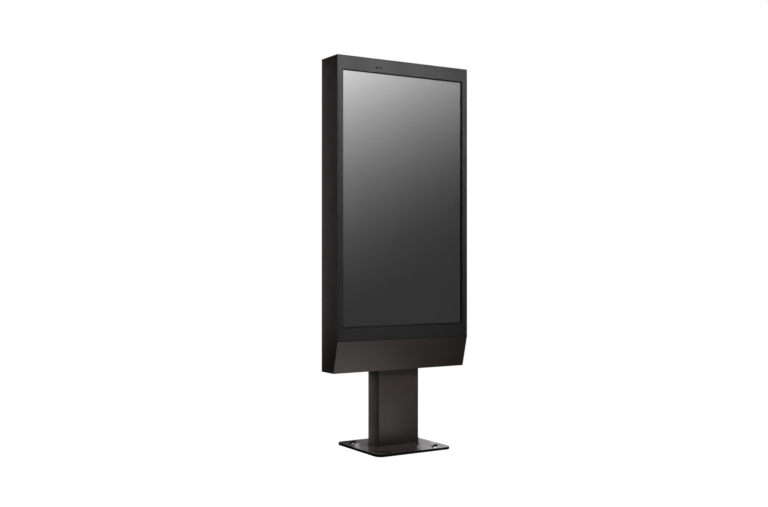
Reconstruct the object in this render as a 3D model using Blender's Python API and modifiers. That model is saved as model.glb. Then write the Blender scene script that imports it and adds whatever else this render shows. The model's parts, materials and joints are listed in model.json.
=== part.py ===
"""Free-standing touchscreen kiosk: a portrait display housing on a short column and a floor plate.

Frame: metres, +Z up, +X to the right of someone who faces the screen, +Y away from them, with
the origin at the centre of the floor plate's underside. The glazed front frame is a door on two
pivot pins at the viewer's left. It carries the display, and the power and computing parts stay
on the housing behind it.
"""

import math

import bmesh
import bpy
from mathutils import Matrix, Vector

# ---------------------------------------------------------------- driving dimensions
HOUSING_WIDTH = 0.750
HOUSING_HEIGHT = 1.500
HOUSING_BOTTOM = 0.388
FRONT = -0.105             # y of the front face
BACK = 0.050               # y of the back face
APRON_HEIGHT = 0.152       # sloping lower part of the front
APRON_SETBACK = 0.038      # how far the slope goes back at its foot
SHEET = 0.002              # folded sheet metal
TOUCH = 0.0003             # gap between pieces that touch

PLATE_WIDTH = 0.421
PLATE_DEPTH = 0.406
PLATE_THICKNESS = 0.012
PLATE_CORNER = 0.033
PLATE_HOLE = 0.030         # radius of the cable hole in the plate
ANCHOR_SLOT = (0.088, 0.022)
ANCHOR_OFFSET = 0.148      # slot centres, from the plate's centre along x and y

COLUMN_WIDTH = 0.232
COLUMN_DEPTH = 0.100
COLUMN_WALL = 0.003
COLUMN_TOP_PLATE = 0.006   # thickness of the plate that closes the column, and of the spreader
DUCT_HOLE = 0.026          # radius of the cable holes between column and housing
HATCH = (0.090, 0.150)     # access opening at the back of the column
HATCH_Z = 0.120
COVER_LAP = 0.012          # covers and grilles beyond the opening they close
COVER_SHEET = 0.0015

ACTIVE_WIDTH = 0.6804      # visible picture of a 55 inch panel stood on end
ACTIVE_HEIGHT = 1.2096
SCREEN_Z = 1.2135          # height of the picture's centre
OPENING_MARGIN = 0.0043    # frame opening beyond the picture, on each side

DOOR_GAP = 0.002           # between the door and the sheet round it
FRAME_DEPTH = 0.009        # outer return of the door frame
LIP_DEPTH = 0.0055         # inner return, round the opening
GLASS_THICKNESS = 0.005
PIVOT_INSET = 0.009        # pivot pins, in from the door's left edge
PIVOT_DEPTH = 0.005        # pivot pins, back from the front face
PIN_RADIUS = 0.002

LOCK_Y = -0.060
LOCK_HEIGHTS = {"upper": 1.550, "lower": 0.880}
CAM_REACH = 0.026
CAM_WIDTH = 0.012
PROUD = 0.0012             # heads that stand out of the side panels

FAN_SIZE = 0.120
FAN_DEPTH = 0.025
FAN_X = 0.120
FAN_Z = 1.720
FAN_BORE = 0.0575          # radii
FAN_HUB = 0.019
FAN_BLADES = 7
INTAKE = (0.300, 0.100)    # cut-out in the back panel
INTAKE_Z = 0.500
LIFTING_POINT = (-0.007, 1.863)             # y and z of the plugged holes high in the sides
SENSOR_Z = 1.846
LIGHT_SENSOR_X = -0.159
IR_SENSOR_X = -0.137

# ---------------------------------------------------------------- derived places
HALF = HOUSING_WIDTH / 2
INNER = HALF - SHEET                        # inner faces of the side panels
FIT = INNER - TOUCH                         # panels that sit between the sides
TOP = HOUSING_BOTTOM + HOUSING_HEIGHT
BEND = HOUSING_BOTTOM + APRON_HEIGHT        # where the front turns into the apron

DOOR_HALF = INNER - DOOR_GAP
DOOR_LOW = BEND + DOOR_GAP
DOOR_HIGH = TOP - SHEET - DOOR_GAP
OPEN_HALF = ACTIVE_WIDTH / 2 + OPENING_MARGIN
OPEN_LOW = SCREEN_Z - ACTIVE_HEIGHT / 2 - OPENING_MARGIN
OPEN_HIGH = SCREEN_Z + ACTIVE_HEIGHT / 2 + OPENING_MARGIN
GLASS_OVERLAP = 0.0075                      # glass beyond the opening
GASKET_THICKNESS = 0.001
GASKET_FRONT = FRONT + LIP_DEPTH + TOUCH
GLASS_FRONT = GASKET_FRONT + GASKET_THICKNESS + TOUCH
GLASS_BACK = GLASS_FRONT + GLASS_THICKNESS
BEZEL_FRONT = GLASS_BACK + TOUCH
BEZEL_SHEET = 0.0012
CELL_FRONT = BEZEL_FRONT + BEZEL_SHEET + TOUCH
CELL_THICKNESS = 0.0025
TRAY_FRONT = CELL_FRONT + CELL_THICKNESS + TOUCH
TRAY_BACK = -0.045
PIVOT = (-DOOR_HALF + PIVOT_INSET, FRONT + PIVOT_DEPTH)
PLATE_FACE = 0.018                          # front of the equipment plate
EQUIPMENT_BACK = PLATE_FACE - TOUCH         # back of what is screwed to that plate
PANEL_FACE = BACK - SHEET - TOUCH           # what touches the inside of the back panel
APRON_WALL = SHEET * math.hypot(APRON_SETBACK, APRON_HEIGHT) / APRON_HEIGHT  # front to back

# ---------------------------------------------------------------- scene and finishes
AXES = {
    "XY": (Matrix.Identity(4), Vector((0, 0, 1))),
    "XZ": (Matrix(((1, 0, 0, 0), (0, 0, -1, 0), (0, 1, 0, 0), (0, 0, 0, 1))), Vector((0, 1, 0))),
    "YZ": (Matrix(((0, 0, 1, 0), (1, 0, 0, 0), (0, 1, 0, 0), (0, 0, 0, 1))), Vector((1, 0, 0))),
}

FINISHES = {
    "body_paint": ((0.052, 0.046, 0.042), 0.50, 0.3),
    "frame_paint": ((0.042, 0.042, 0.043), 0.42, 0.3),
    "glass": ((0.02, 0.02, 0.022), 0.05, 0.0),
    "screen": ((0.10, 0.10, 0.105), 0.25, 0.0),
    "rubber": ((0.02, 0.02, 0.02), 0.80, 0.0),
    "plated_steel": ((0.62, 0.62, 0.60), 0.38, 1.0),
    "aluminium": ((0.70, 0.70, 0.71), 0.35, 1.0),
    "black_plastic": ((0.03, 0.03, 0.03), 0.45, 0.0),
    "pale_plastic": ((0.75, 0.75, 0.72), 0.45, 0.0),
    "circuit_board": ((0.03, 0.16, 0.07), 0.45, 0.0),
    "lock_chrome": ((0.75, 0.75, 0.76), 0.15, 1.0),
    "filter_foam": ((0.05, 0.05, 0.055), 0.95, 0.0),
}


def clear_scene():
    for obj in list(bpy.data.objects):
        bpy.data.objects.remove(obj, do_unlink=True)


def new_collection(name):
    collection = bpy.data.collections.new(name)
    bpy.context.scene.collection.children.link(collection)
    return collection


def make_finish(name, colour, roughness, metallic):
    material = bpy.data.materials.new(name)
    material.use_nodes = True
    shader = material.node_tree.nodes["Principled BSDF"]
    shader.inputs["Base Color"].default_value = (*colour, 1)
    shader.inputs["Roughness"].default_value = roughness
    shader.inputs["Metallic"].default_value = metallic
    return material


clear_scene()
PARTS = new_collection("touchscreen_kiosk")
CUTTERS = new_collection("cutters")
MATERIALS = {name: make_finish(name, *values) for name, values in FINISHES.items()}


# ---------------------------------------------------------------- modelling helpers
def settle(obj, name, finish):
    """Name an object and file it with the parts, or with the cutters if it has no finish."""
    obj.name = name
    for collection in list(obj.users_collection):
        collection.objects.unlink(obj)
    if finish is None:
        CUTTERS.objects.link(obj)
        obj.hide_render = True
        obj.display_type = "WIRE"
    else:
        PARTS.objects.link(obj)
        obj.data.materials.clear()
        obj.data.materials.append(MATERIALS[finish])
    return obj


def box(name, low, high, finish=None, bevel=0.0):
    low = Vector(low)
    high = Vector(high)
    bpy.ops.mesh.primitive_cube_add(size=1, location=(low + high) / 2)
    obj = settle(bpy.context.object, name, finish)
    obj.data.transform(Matrix.Diagonal((*(high - low), 1)))
    if bevel:
        round_edges(obj, bevel)
    return obj


def round_edges(obj, width):
    bevel = obj.modifiers.new("edges", "BEVEL")
    bevel.width = width
    bevel.segments = 2
    bevel.limit_method = "ANGLE"


def rod(name, start, end, radius, finish=None, sides=32):
    start = Vector(start)
    end = Vector(end)
    run = end - start
    bpy.ops.mesh.primitive_cylinder_add(
        vertices=sides,
        radius=radius,
        depth=run.length,
        location=(start + end) / 2,
        rotation=run.to_track_quat("Z", "Y").to_euler(),
    )
    obj = settle(bpy.context.object, name, finish)
    smooth(obj)
    return obj


def smooth(obj):
    obj.data.shade_smooth()
    obj.data.set_sharp_from_angle(angle=math.radians(35))


def turned(name, profile, origin, direction, finish, ring=False):
    """Turn (radius, height) points, given down the outer side, round a line through origin."""
    mesh = bpy.data.meshes.new(name)
    edges = [(i, i + 1) for i in range(len(profile) - 1)]
    if ring:
        edges.append((len(profile) - 1, 0))
    mesh.from_pydata([(radius, 0, height) for radius, height in profile], edges, [])
    obj = settle(bpy.data.objects.new(name, mesh), name, finish)
    obj.location = origin
    obj.rotation_euler = Vector(direction).to_track_quat("Z", "Y").to_euler()
    screw = obj.modifiers.new("turn", "SCREW")
    screw.steps = 32
    screw.render_steps = 32
    screw.use_merge_vertices = True
    screw.merge_threshold = 0.00001
    screw.use_smooth_shade = False
    return obj


def outline(name, loops, plane, low, high, finish=None):
    """Extrude flat outlines, the first one with the others as its holes, from low to high."""
    turn, normal = AXES[plane]
    curve = bpy.data.curves.new(name, "CURVE")
    curve.dimensions = "2D"
    curve.fill_mode = "BOTH"
    curve.extrude = (high - low) / 2
    for points in loops:
        spline = curve.splines.new("POLY")
        spline.points.add(len(points) - 1)
        for point, (across, up) in zip(spline.points, points):
            point.co = (across, up, 0, 1)
        spline.use_cyclic_u = True
    guide = bpy.data.objects.new(name + "_outline", curve)
    CUTTERS.objects.link(guide)
    guide.matrix_world = Matrix.Translation(normal * (low + high) / 2) @ turn
    bpy.context.view_layer.update()
    evaluated = guide.evaluated_get(bpy.context.evaluated_depsgraph_get())
    mesh = bpy.data.meshes.new_from_object(evaluated)
    weld = bmesh.new()
    weld.from_mesh(mesh)
    bmesh.ops.remove_doubles(weld, verts=weld.verts, dist=0.00001)
    weld.to_mesh(mesh)
    weld.free()
    obj = settle(bpy.data.objects.new(name, mesh), name, finish)
    obj.matrix_world = guide.matrix_world
    bpy.data.objects.remove(guide)
    return obj


def tube(name, route, radius, finish):
    """A round lead along a smooth curve through the points of its route."""
    curve = bpy.data.curves.new(name, "CURVE")
    curve.dimensions = "3D"
    curve.bevel_depth = radius
    curve.bevel_resolution = 2
    curve.use_fill_caps = True
    points = smooth_route(route, 8)
    spline = curve.splines.new("POLY")
    spline.points.add(len(points) - 1)
    for point, place in zip(spline.points, points):
        point.co = (*place, 1)
    return settle(bpy.data.objects.new(name, curve), name, finish)


def smooth_route(route, steps):
    """Points along a Catmull-Rom curve, whose end points are doubled."""
    knots = [Vector(point) for point in (route[0], *route, route[-1])]
    points = []
    for a, b, c, d in zip(knots, knots[1:], knots[2:], knots[3:]):
        for step in range(steps):
            t = step / steps
            points.append(
                0.5 * (2 * b + (c - a) * t + (2 * a - 5 * b + 4 * c - d) * t**2
                       + (3 * b - a - 3 * c + d) * t**3)
            )
    points.append(knots[-1])
    return points


def boolean(obj, operation, *others):
    for other in others:
        modifier = obj.modifiers.new(other.name, "BOOLEAN")
        modifier.operation = operation
        modifier.object = other
        modifier.solver = "EXACT"


def cut(obj, *cutters):
    boolean(obj, "DIFFERENCE", *cutters)


def join(obj, *others):
    boolean(obj, "UNION", *others)


def rectangle(low, high):
    return [low, (high[0], low[1]), high, (low[0], high[1])]


def circle(centre, radius, sides=32):
    turns = [2 * math.pi * i / sides for i in range(sides)]
    return [(centre[0] + radius * math.cos(a), centre[1] + radius * math.sin(a)) for a in turns]


def rounded_rectangle(centre, size, radius, steps=8):
    points = []
    for quarter, (sx, sy) in enumerate(((1, 1), (-1, 1), (-1, -1), (1, -1))):
        middle = (
            centre[0] + sx * (size[0] / 2 - radius),
            centre[1] + sy * (size[1] / 2 - radius),
        )
        for step in range(steps + 1):
            angle = math.pi / 2 * (quarter + step / steps)
            points.append((middle[0] + radius * math.cos(angle), middle[1] + radius * math.sin(angle)))
    return points


def slot(centre, length, width, angle=0.0, steps=6):
    """A slot with round ends."""
    straight = (length - width) / 2
    points = []
    for end in (1, -1):
        for step in range(steps + 1):
            turn = math.pi * (step / steps - 0.5) + (0 if end > 0 else math.pi)
            across = end * straight + width / 2 * math.cos(turn)
            up = width / 2 * math.sin(turn)
            points.append((
                centre[0] + across * math.cos(angle) - up * math.sin(angle),
                centre[1] + across * math.sin(angle) + up * math.cos(angle),
            ))
    return points


def hang_on(pivot_name, place, *pieces):
    """Parent pieces to an empty on their joint's axis, where they already are."""
    pivot = bpy.data.objects.new(pivot_name, None)
    PARTS.objects.link(pivot)
    pivot.location = place
    for piece in pieces:
        piece.parent = pivot
        piece.matrix_parent_inverse = Matrix.Translation(place).inverted()


# ---------------------------------------------------------------- floor plate and column
def floor_plate():
    slot_places = [(sx * ANCHOR_OFFSET, sy * ANCHOR_OFFSET, -sx * sy) for sx in (1, -1) for sy in (1, -1)]
    slots = [slot((x, y), *ANCHOR_SLOT, turn * math.pi / 4) for x, y, turn in slot_places]
    cable_hole = circle((0, 0), PLATE_HOLE)
    edge = rounded_rectangle((0, 0), (PLATE_WIDTH, PLATE_DEPTH), PLATE_CORNER)
    outline("base_plate", [edge, cable_hole, *slots], "XY", 0, PLATE_THICKNESS, "body_paint")
    cable_grommet("base_grommet", 0.022, PLATE_HOLE - TOUCH, 0.0005, PLATE_THICKNESS + TOUCH)


def cable_grommet(name, bore, neck, low, seat):
    """A rubber bush: its neck lines a hole from low up to seat, and its lip rests on the seat."""
    lip = neck + 0.0045
    high = seat + 0.0027
    profile = [
        (bore, high), (lip - 0.001, high - 0.0005), (lip, seat), (neck, seat),
        (neck, low + 0.0005), (bore, low),
    ]
    turned(name, profile, (0, 0, 0), (0, 0, 1), "rubber", ring=True)


def column():
    low = PLATE_THICKNESS + TOUCH
    high = HOUSING_BOTTOM - TOUCH
    inside = (COLUMN_WIDTH - 2 * COLUMN_WALL, COLUMN_DEPTH - 2 * COLUMN_WALL)
    walls = [
        rounded_rectangle((0, 0), (COLUMN_WIDTH, COLUMN_DEPTH), 0.004, steps=4),
        rounded_rectangle((0, 0), inside, 0.0015, steps=2),
    ]
    tube_walls = outline("column_tube", walls, "XY", low, high, "body_paint")
    rear = COLUMN_DEPTH / 2
    cut(tube_walls, box(
        "hatch_hole",
        (-HATCH[0] / 2, rear - 0.010, HATCH_Z - HATCH[1] / 2),
        (HATCH[0] / 2, rear + 0.010, HATCH_Z + HATCH[1] / 2),
    ))
    cover_size = (HATCH[0] + 2 * COVER_LAP, HATCH[1] + 2 * COVER_LAP)
    cover_edge = rounded_rectangle((0, HATCH_Z), cover_size, 0.006, steps=3)
    cover_face = rear + TOUCH
    outline("column_access_cover", [cover_edge], "XZ", cover_face, cover_face + COVER_SHEET, "body_paint")

    duct = circle((0, 0), DUCT_HOLE)
    top_edge = rounded_rectangle((0, 0), (inside[0] - 2 * TOUCH, inside[1] - 2 * TOUCH), 0.0015, steps=2)
    top_plate_low = high - COLUMN_TOP_PLATE
    outline("column_top_plate", [top_edge, duct], "XY", top_plate_low, high, "plated_steel")
    spreader_low = HOUSING_BOTTOM + SHEET + TOUCH
    spreader_high = spreader_low + COLUMN_TOP_PLATE
    spreader_edge = rounded_rectangle((0, 0), (0.300, 0.086), 0.006, steps=3)
    outline("mounting_spreader", [spreader_edge, duct], "XY", spreader_low, spreader_high, "plated_steel")
    cable_grommet("cable_bush", 0.0165, DUCT_HOLE - 0.001, top_plate_low, spreader_high + TOUCH)


# ---------------------------------------------------------------- housing
def side_panels():
    foot = FRONT + APRON_SETBACK
    edge = [(FRONT, TOP), (FRONT, BEND), (foot, HOUSING_BOTTOM), (BACK, HOUSING_BOTTOM), (BACK, TOP)]
    plug_hole = circle(LIFTING_POINT, 0.0073)
    lock_holes = [circle((LOCK_Y, height), 0.0083) for height in LOCK_HEIGHTS.values()]
    outline("left_side_panel", [edge, plug_hole], "YZ", -HALF, -INNER, "body_paint")
    outline("right_side_panel", [edge, plug_hole, *lock_holes], "YZ", INNER, HALF, "body_paint")
    stem = -0.004
    profile = [(0, PROUD), (0.0095, PROUD), (0.0100, TOUCH), (0.0070, TOUCH), (0.0070, stem), (0, stem)]
    for side, name in ((-1, "left"), (1, "right")):
        place = (side * HALF, *LIFTING_POINT)
        turned(f"lifting_plug_{name}", profile, place, (side, 0, 0), "black_plastic")


def top_and_bottom_panels():
    pin_hole = circle(PIVOT, PIN_RADIUS + TOUCH, 24)
    top_edge = rectangle((-FIT, FRONT), (FIT, PANEL_FACE))
    outline("top_panel", [top_edge, pin_hole], "XY", TOP - SHEET, TOP, "body_paint")
    apron_inside = FRONT + APRON_SETBACK + APRON_WALL
    bottom_edge = rectangle((-FIT, apron_inside + TOUCH), (FIT, PANEL_FACE))
    outline(
        "bottom_panel", [bottom_edge, circle((0, 0), DUCT_HOLE)],
        "XY", HOUSING_BOTTOM, HOUSING_BOTTOM + SHEET, "body_paint",
    )


def apron_panel():
    """The sloping lower front, folded back at its top into the sill that the door closes on."""
    foot = FRONT + APRON_SETBACK
    sill_back = FRONT + 0.033
    profile = [
        (FRONT, BEND), (foot, HOUSING_BOTTOM), (foot + APRON_WALL, HOUSING_BOTTOM),
        (FRONT + APRON_WALL + APRON_SETBACK * SHEET / APRON_HEIGHT, BEND - SHEET),
        (sill_back, BEND - SHEET), (sill_back, BEND),
    ]
    panel = outline("apron_panel", [profile], "YZ", -FIT, FIT, "body_paint")
    cut(panel, pin_hole("sill_pin_hole", BEND, SHEET + 0.001))


def pin_hole(name, height, reach):
    """A cutter on the door's axis, which reaches up and down from a height."""
    low = (*PIVOT, height - reach)
    high = (*PIVOT, height + reach)
    return rod(name, low, high, PIN_RADIUS + TOUCH, sides=24)


def back_panel():
    edge = rectangle((-FIT, HOUSING_BOTTOM), (FIT, TOP))
    fan_holes = [circle((x, FAN_Z), 0.056, 40) for x in (-FAN_X, FAN_X)]
    intake = rectangle((-INTAKE[0] / 2, INTAKE_Z - INTAKE[1] / 2), (INTAKE[0] / 2, INTAKE_Z + INTAKE[1] / 2))
    outline("back_panel", [edge, *fan_holes, intake], "XZ", BACK - SHEET, BACK, "body_paint")


def louvres(name, centre, size, rows, columns, finish):
    """A thin cover plate on the back panel, with rows of long slots."""
    border = 0.008
    bridge = 0.010
    pitch = (size[1] - 2 * border) / rows
    bay = (size[0] - 2 * border + bridge / 2) / columns
    edge = rounded_rectangle(centre, size, 0.006, steps=3)
    slots = [
        slot(
            (centre[0] + (column - (columns - 1) / 2) * bay, centre[1] + (row - (rows - 1) / 2) * pitch),
            bay - bridge, pitch * 0.5, steps=3,
        )
        for row in range(rows) for column in range(columns)
    ]
    outline(name, [edge, *slots], "XZ", BACK + TOUCH, BACK + TOUCH + COVER_SHEET, finish)


def vents():
    fan_cover = FAN_SIZE + 0.016
    for side, name in ((-1, "left"), (1, "right")):
        louvres(f"fan_grille_{name}", (side * FAN_X, FAN_Z), (fan_cover, fan_cover), 11, 1, "body_paint")
    intake_cover = (INTAKE[0] + 2 * COVER_LAP, INTAKE[1] + 2 * COVER_LAP)
    louvres("intake_grille", (0, INTAKE_Z), intake_cover, 9, 3, "body_paint")
    half = INTAKE[0] / 2 + 0.005
    rise = INTAKE[1] / 2 + 0.005
    box(
        "intake_filter", (-half, PANEL_FACE - 0.008, INTAKE_Z - rise), (half, PANEL_FACE, INTAKE_Z + rise),
        "filter_foam", bevel=0.001,
    )


# ---------------------------------------------------------------- fans
def fan(side, name):
    x = side * FAN_X
    front = PANEL_FACE - FAN_DEPTH
    half = FAN_SIZE / 2
    frame_edge = rounded_rectangle((x, FAN_Z), (FAN_SIZE, FAN_SIZE), 0.006, steps=3)
    frame = outline(
        f"fan_frame_{name}", [frame_edge, circle((x, FAN_Z), FAN_BORE, 40)],
        "XZ", front, PANEL_FACE, "black_plastic",
    )
    strut_depth = 0.003
    stator = rod(f"fan_stator_{name}", (x, front, FAN_Z), (x, front + strut_depth, FAN_Z), FAN_HUB)
    join(frame, stator)
    for turn in (45, -45):
        strut = box(
            f"fan_strut_{name}_{turn}", (-half, -strut_depth / 2, -0.0025), (half, strut_depth / 2, 0.0025),
        )
        strut.location = (x, front + strut_depth / 2, FAN_Z)
        strut.rotation_euler.y = math.radians(turn)
        join(frame, strut)

    middle = front + 0.0128
    hub = 0.009
    rotor = rod(
        f"fan_rotor_{name}", (x, middle - hub, FAN_Z), (x, middle + hub, FAN_Z), FAN_HUB, "black_plastic",
    )
    root = FAN_HUB - 0.002
    tip = FAN_BORE - 0.0035
    for blade in range(FAN_BLADES):
        paddle = box(f"fan_blade_{name}_{blade}", (root, -0.00075, -0.012), (tip, 0.00075, 0.012))
        pitch = Matrix.Rotation(math.radians(48), 4, "X")
        turn = Matrix.Rotation(2 * math.pi * blade / FAN_BLADES, 4, "Y")
        paddle.data.transform(Matrix.Translation(((root + tip) / 2, 0, 0)))
        paddle.matrix_world = Matrix.Translation((x, middle, FAN_Z)) @ turn @ pitch
        join(rotor, paddle)
    hang_on(f"fan_axis_{name}", (x, middle, FAN_Z), rotor)


# ---------------------------------------------------------------- parts behind the display
def chassis():
    near = 0.255
    far = 0.285
    face = PLATE_FACE + 0.002
    for side, name in ((-1, "left"), (1, "right")):
        profile = [
            (near, face), (far, face), (far, PANEL_FACE), (near, PANEL_FACE),
            (near, PANEL_FACE - SHEET), (far - SHEET, PANEL_FACE - SHEET),
            (far - SHEET, face + SHEET), (near, face + SHEET),
        ]
        profile = [(side * x, y) for x, y in profile]
        outline(
            f"chassis_upright_{name}", [profile], "XY",
            HOUSING_BOTTOM + SHEET + TOUCH, TOP - SHEET - TOUCH, "plated_steel",
        )
    edge = rounded_rectangle((0, 1.140), (0.580, 0.880), 0.008, steps=3)
    windows = [
        rounded_rectangle((x, z), (0.110, 0.030), 0.006, steps=3)
        for x in (-0.16, 0.16) for z in (0.745, 1.535)
    ]
    outline("equipment_plate", [edge, *windows], "XZ", PLATE_FACE, PLATE_FACE + 0.0017, "plated_steel")


def power_supply():
    half = 0.0575
    face = -0.022
    front = face - 0.008                        # well in front of the case, for its cutters
    case = box("power_supply", (-half, face, 0.950), (half, EQUIPMENT_BACK, 1.165), "aluminium")
    cut(case, box("terminal_step", (0.0055 - half, front, 0.940), (half - 0.0055, face + 0.018, 0.972)))
    for row in range(6):
        low = 1.010 + row * 0.022
        cut(case, box(f"case_slot_{row}", (-0.040, front, low), (0.040, face + 0.0015, low + 0.006)))


def media_player():
    """A fanless computer, whose fins stand on its front."""
    half = 0.095
    low = 1.260
    high = 1.440
    face = -0.006
    case = box("media_player", (-half, face, low), (half, EQUIPMENT_BACK, high), "black_plastic")
    fins = 13
    outermost = half - 0.004
    for fin in range(fins):
        x = outermost * (2 * fin / (fins - 1) - 1)
        join(case, box(
            f"cooling_fin_{fin}",
            (x - 0.0012, face - 0.016, low + 0.004), (x + 0.0012, face + 0.002, high - 0.004),
        ))


def breaker():
    """A two-pole breaker. Its toggle turns about a rod that is sunk in the front of its body."""
    centre = Vector((0.218, -0.0205, 0.8425))
    half = 0.018
    body = box(
        "breaker_body", (centre.x - half, -0.0263, 0.800), (centre.x + half, EQUIPMENT_BACK, 0.885),
        "pale_plastic", bevel=0.0006,
    )
    cut(body, box(
        "toggle_slot", centre + Vector((0.002 - half, -0.0145, -0.013)),
        centre + Vector((half - 0.002, 0.008, 0.013)),
    ))
    reach = 0.0150
    along = Vector((reach, 0, 0))
    toggle = rod("breaker_toggle", centre - along, centre + along, 0.006, "black_plastic", sides=24)
    paddle = box("toggle_paddle", (-reach, -0.0165, -0.003), (reach, -0.002, 0.003))
    paddle.data.transform(Matrix.Translation((0, -0.00925, 0)))
    paddle.location = centre
    paddle.rotation_euler.x = math.radians(-30)
    join(toggle, paddle)
    hang_on("toggle_axis", centre, toggle)


def wiring():
    block = box(
        "junction_block", (-0.258, -0.004, 1.000), (-0.228, EQUIPMENT_BACK, 1.100),
        "black_plastic", bevel=0.001,
    )
    for row in range(4):
        low = 1.008 + row * 0.022
        cut(block, box(f"junction_socket_{row}", (-0.253, -0.010, low), (-0.233, 0.004, low + 0.014)))
    supply_route = [
        (0.218, -0.004, 0.8855), (0.218, -0.004, 0.905), (0.214, -0.002, 0.940), (0.180, 0.002, 0.985),
        (0.130, 0.002, 1.010), (0.080, -0.001, 1.020), (0.0580, -0.001, 1.020),
    ]
    tube("power_harness", supply_route, 0.0040, "rubber")
    signal_route = [
        (-0.0955, 0.006, 1.330), (-0.120, 0.006, 1.330), (-0.175, 0.008, 1.318), (-0.222, 0.009, 1.270),
        (-0.243, 0.008, 1.200), (-0.243, 0.007, 1.130), (-0.243, 0.007, 1.1005),
    ]
    tube("video_cable", signal_route, 0.0035, "rubber")


# ---------------------------------------------------------------- display door
def ring(name, outer, inner, low, high, finish=None):
    """A rectangular ring in the plane of the screen, given as (half width, bottom, top)."""
    loops = [rectangle((-half, bottom), (half, top)) for half, bottom, top in (outer, inner)]
    return outline(name, loops, "XZ", low, high, finish)


def inset(rim, distance):
    half, bottom, top = rim
    return (half - distance, bottom + distance, top - distance)


def door_frame():
    """A flanged ring: front skin, deep outer return, shallow inner return at the opening."""
    outer = (DOOR_HALF, DOOR_LOW, DOOR_HIGH)
    opening = (OPEN_HALF, OPEN_LOW, OPEN_HIGH)
    back = FRONT + FRAME_DEPTH
    beyond = back + 0.010
    frame = ring("door_frame", outer, opening, FRONT, back, "frame_paint")
    channel = ring("frame_channel", inset(outer, SHEET), inset(opening, -SHEET), FRONT + SHEET, beyond)
    lip_trim = ring(
        "lip_trim", inset(opening, -SHEET - 0.0005), inset(opening, 0.010), FRONT + LIP_DEPTH, beyond,
    )
    pin_holes = [
        pin_hole(f"{edge}_return_hole", height, 0.005)
        for edge, height in (("bottom", DOOR_LOW), ("top", DOOR_HIGH))
    ]
    light_edge, ir_edge = sensor_outlines(TOUCH)
    light_hole = outline("light_hole", [light_edge], "XZ", FRONT - 0.005, FRONT + 0.004)
    ir_hole = outline("ir_hole", [ir_edge], "XZ", FRONT - 0.005, FRONT + 0.004)
    cut(frame, channel, lip_trim, *pin_holes, light_hole, ir_hole)


def sensor_outlines(margin=0.0):
    """Edges of the light sensor's window and of the infrared receiver's, a margin larger."""
    light = slot((LIGHT_SENSOR_X, SENSOR_Z), 0.0140 + 2 * margin, 0.0070 + 2 * margin)
    infrared = circle((IR_SENSOR_X, SENSOR_Z), 0.0040 + margin, 24)
    return light, infrared


def sensors():
    face = FRONT + 0.0004
    back = FRONT + 0.0032
    light_edge, ir_edge = sensor_outlines()
    outline("light_sensor_window", [light_edge], "XZ", face, back, "glass")
    outline("ir_receiver_window", [ir_edge], "XZ", face, back, "glass")
    board_face = FRONT + 0.0046
    board = box(
        "sensor_board",
        (-0.175, board_face, SENSOR_Z - 0.0065), (-0.120, board_face + 0.0016, SENSOR_Z + 0.0115),
        "circuit_board",
    )
    for name, x, width in (("light", LIGHT_SENSOR_X, 0.008), ("infrared", IR_SENSOR_X, 0.006)):
        low = (x - width / 2, back + TOUCH, SENSOR_Z - 0.003)
        high = (x + width / 2, board_face + 0.0004, SENSOR_Z + 0.003)
        join(board, box(f"{name}_chip", low, high))


def glazing():
    opening = (OPEN_HALF, OPEN_LOW, OPEN_HIGH)
    edge = inset(opening, -GLASS_OVERLAP)
    ring("glass_gasket", edge, opening, GASKET_FRONT, GASKET_FRONT + GASKET_THICKNESS, "rubber")
    half, bottom, top = edge
    box("touch_glass", (-half, GLASS_FRONT, bottom), (half, GLASS_BACK, top), "glass")

    # The carriers clamp the glass into the frame, and their lips locate the display's sides. The
    # lips are short, to leave the lock cams room to turn.
    edge_gap = half + 0.0005
    hold = half - 0.0015
    outside = DOOR_HALF - SHEET - TOUCH
    skin = FRONT + SHEET + TOUCH
    behind = GLASS_BACK + TOUCH
    lip = behind + 0.006
    for side, name in ((-1, "left"), (1, "right")):
        profile = [
            (outside, skin), (edge_gap, skin), (edge_gap, behind), (hold, behind), (hold, lip),
            (hold + 0.0015, lip), (hold + 0.0015, behind + 0.0015), (outside, behind + 0.0015),
        ]
        profile = [(side * x, y) for x, y in profile]
        outline(f"display_carrier_{name}", [profile], "XY", bottom, top, "plated_steel")
    # Clips along the top and bottom edges: up is the way from the glass to the frame's rim.
    for near, up, name in ((top + 0.0005, 1, "top"), (bottom - 0.0005, -1, "bottom")):
        clip = [
            (skin, near), (behind, near), (behind, near - up * 0.0020),
            (behind + 0.0015, near - up * 0.0020), (behind + 0.0015, near + up * 0.0080),
            (skin, near + up * 0.0080),
        ]
        outline(f"glass_retainer_{name}", [clip], "YZ", -0.330, 0.330, "plated_steel")


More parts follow.
